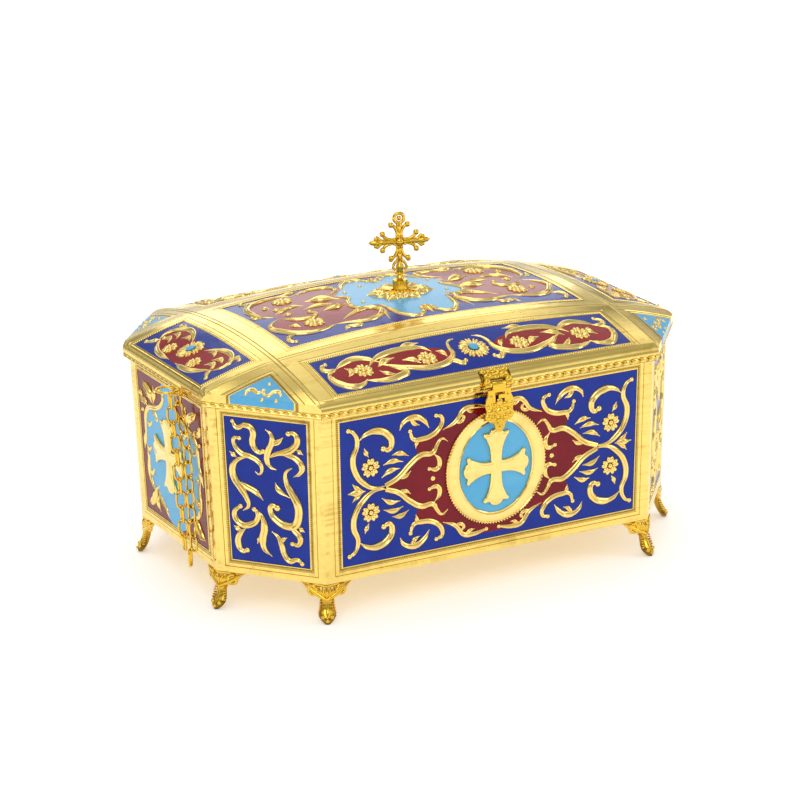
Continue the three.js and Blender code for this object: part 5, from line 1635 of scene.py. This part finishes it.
def strandPlaces(path, count, turn):
    # matrices of links shared out evenly along a hanging path
    points = [Vector(p) for p in path]
    steps = [(b - a).length for a, b in zip(points, points[1:])]

    def at(distance):
        for a, b, step in zip(points, points[1:], steps):
            if distance <= step:
                return a.lerp(b, distance / step)
            distance -= step
        return points[-1]

    places = []
    for index in range(count):
        a, b = at(sum(steps) * index / count), at(sum(steps) * (index + 1) / count)
        along = (a - b).normalized()
        side = Vector((math.cos(turn + index % 2 * math.pi / 2), math.sin(turn + index % 2 * math.pi / 2), 0))
        side = (side - along * side.dot(along)).normalized()
        matrix = Matrix((side, along.cross(side), along)).transposed().to_4x4()
        matrix.translation = (a + b) / 2
        places.append(matrix)
    return places


def buildChain():
    bm = bmesh.new()
    top = eyeZ - 0.3
    for name in ("outer", "inner", "joint"):
        path = [(*p, top)[:3] for p in chain[name]]
        count = 1 if name == "joint" else chain["links"]
        for matrix in strandPlaces(path, count, chain["turns"][name]):
            merge(bm, linkPattern(), matrix)
    x, y, radius = chain["ring"]
    hoop = [(x + radius * math.cos(i * math.pi / 6), y + radius * math.sin(i * math.pi / 6),
             eyeZ) for i in range(12)]
    merge(bm, tube([(hoop, [1] * 12)], chain["wire"], True, 4, 2))
    addPiece(bm, "carryingChain", "casket", ["giltCasting"], ["carrying_chain"], sharp=60)


def buildEyes():
    for side, name in ((-1, "left"), (1, "right")):
        x, y = side * (halfLength + 8.5), -31.1
        turn = Matrix.Translation((x, y, eyeZ)) @ Matrix.Rotation(side * math.pi / 3, 4, "Z")
        loop = [(2.2 * math.cos(i * math.pi / 4), 0, 2.2 * math.sin(i * math.pi / 4)) for i in range(8)]
        bm = tube([(loop, [1] * 8)], 0.56, True, 4, 2)
        bmesh.ops.transform(bm, matrix=turn, verts=bm.verts)
        ends = sorted((side * (halfLength + 3.4), x + side * 0.3))
        barrelBetween(bm, ends[0], ends[1], y, eyeZ - 2.2, 0.9)
        lump(bm, (side * (halfLength + 3.9), y, eyeZ - 2.2), (0.7, 1.7, 1.7), 0, 8, 6)
        addPiece(bm, f"eye{name.capitalize()}", "casket", ["giltCasting"], [f"chain_eye_{name}"], sharp=50)


def keepCadNodes():
    # small cast parts at the back and behind the hasp keep their own solids
    for name in ("hasp_staple", "hinge_leaf_left", "hinge_leaf_right", "hinge_strap_left",
                 "hinge_strap_right"):
        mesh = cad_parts[name].data
        mesh.materials.clear()
        mesh.materials.append(finishes["giltCasting"])


buildFeet()
buildCross()
buildHasp()
buildChain()
buildEyes()
keepCadNodes()
print("castings ready")


# Studio

view = {
    "azimuth": -27.563, "elevation": 17.742, "roll": -1.153, "shiftX": -1.362, "shiftY": -3.516,
    "distance": 1841.37, "lens": 140.28, "targetZ": 87.5,
}


def buildCamera():
    a, e, r = (math.radians(view[key]) for key in ("azimuth", "elevation", "roll"))
    back = Vector((math.sin(a) * math.cos(e), -math.cos(a) * math.cos(e), math.sin(e)))
    right = Vector((math.cos(a), math.sin(a), 0))
    up = back.cross(right)
    right, up = right * math.cos(r) + up * math.sin(r), up * math.cos(r) - right * math.sin(r)
    place = Vector((0, 0,
                    view["targetZ"])) + back * view["distance"] + right * view["shiftX"] + up * view["shiftY"]
    camera = bpy.data.objects.new("camera", bpy.data.cameras.new("camera"))
    camera.data.lens = view["lens"]
    camera.data.sensor_width = 36
    camera.data.clip_start = 0.05
    matrix = Matrix((right, up, back)).transposed().to_4x4()
    matrix.translation = toFrame @ place
    camera.matrix_world = matrix
    bpy.context.scene.collection.objects.link(camera)
    bpy.context.scene.camera = camera


lights = [
    # name, place, size, power
    ("key", (-0.9, -1.3, 1.5), 1.2, 8),
    ("fill", (1.6, -1.2, 0.7), 0.8, 4),
    ("top", (0.1, 0.5, 1.9), 1.2, 5),
    ("back", (0.8, 1.8, 0.9), 1.0, 4),
]


def buildLights():
    for name, place, size, power in lights:
        data = bpy.data.lights.new(name, "AREA")
        data.size = size
        data.energy = power
        lamp = bpy.data.objects.new(name, data)
        lamp.location = place
        lamp.rotation_euler = (Vector((0, 0, 0.08)) - Vector(place)).to_track_quat("-Z", "Y").to_euler()
        bpy.context.scene.collection.objects.link(lamp)


sky = {"strength": 1.25, "bands": [(0.0, 0.3), (0.5, 0.22), (0.53, 0.8), (0.58, 0.16), (0.65, 0.55),
                                   (0.71, 0.16), (0.8, 1.0), (0.9, 0.3),
                               (1.0, 0.7)]}


def buildWorld():
    world = bpy.data.worlds.new("studio")
    bpy.context.scene.world = world
    world.use_nodes = True
    tree = world.node_tree
    background = tree.nodes["Background"]
    split = tree.nodes.new("ShaderNodeSeparateXYZ")
    tree.links.new(tree.nodes.new("ShaderNodeTexCoord").outputs["Generated"], split.inputs["Vector"])
    height = mathNode(tree, "MULTIPLY_ADD", split.outputs["Z"], 0.5)
    height.node.inputs[2].default_value = 0.5
    ramp = tree.nodes.new("ShaderNodeValToRGB")
    tree.links.new(height, ramp.inputs["Fac"])
    stops = ramp.color_ramp.elements
    while len(stops) < len(sky["bands"]):
        stops.new(0.5)
    for stop, (place, grey) in zip(stops, sky["bands"]):
        stop.position = place
        stop.color = (grey, grey, grey, 1)
    tree.links.new(ramp.outputs["Color"], background.inputs["Color"])
    background.inputs["Strength"].default_value = sky["strength"]


def buildFloor():
    bm = bmesh.new()
    bmesh.ops.create_grid(bm, x_segments=4, y_segments=4, size=14)
    mesh = bpy.data.meshes.new("floor")
    bm.to_mesh(mesh)
    bm.free()
    material, tree, shader = startMaterial("floorPaper")
    place = tree.nodes.new("ShaderNodeTexCoord").outputs["Object"]
    colour = blend(tree, noise(tree, place, 3, 2), (0.97, 0.97, 0.97), (0.99, 0.99, 0.99))
    tree.links.new(colour, shader.inputs["Base Color"])
    shader.inputs["Roughness"].default_value = 0.7
    shader.inputs["Specular IOR Level"].default_value = 0.2
    shader.inputs["Emission Color"].default_value = (1, 1, 1, 1)
    shader.inputs["Emission Strength"].default_value = 0.3
    mesh.materials.append(material)
    floor = bpy.data.objects.new("floor", mesh)
    bpy.context.scene.collection.objects.link(floor)


buildCamera()
buildLights()
buildWorld()
buildFloor()
bpy.context.scene.view_settings.view_transform = "Standard"
print("studio ready")
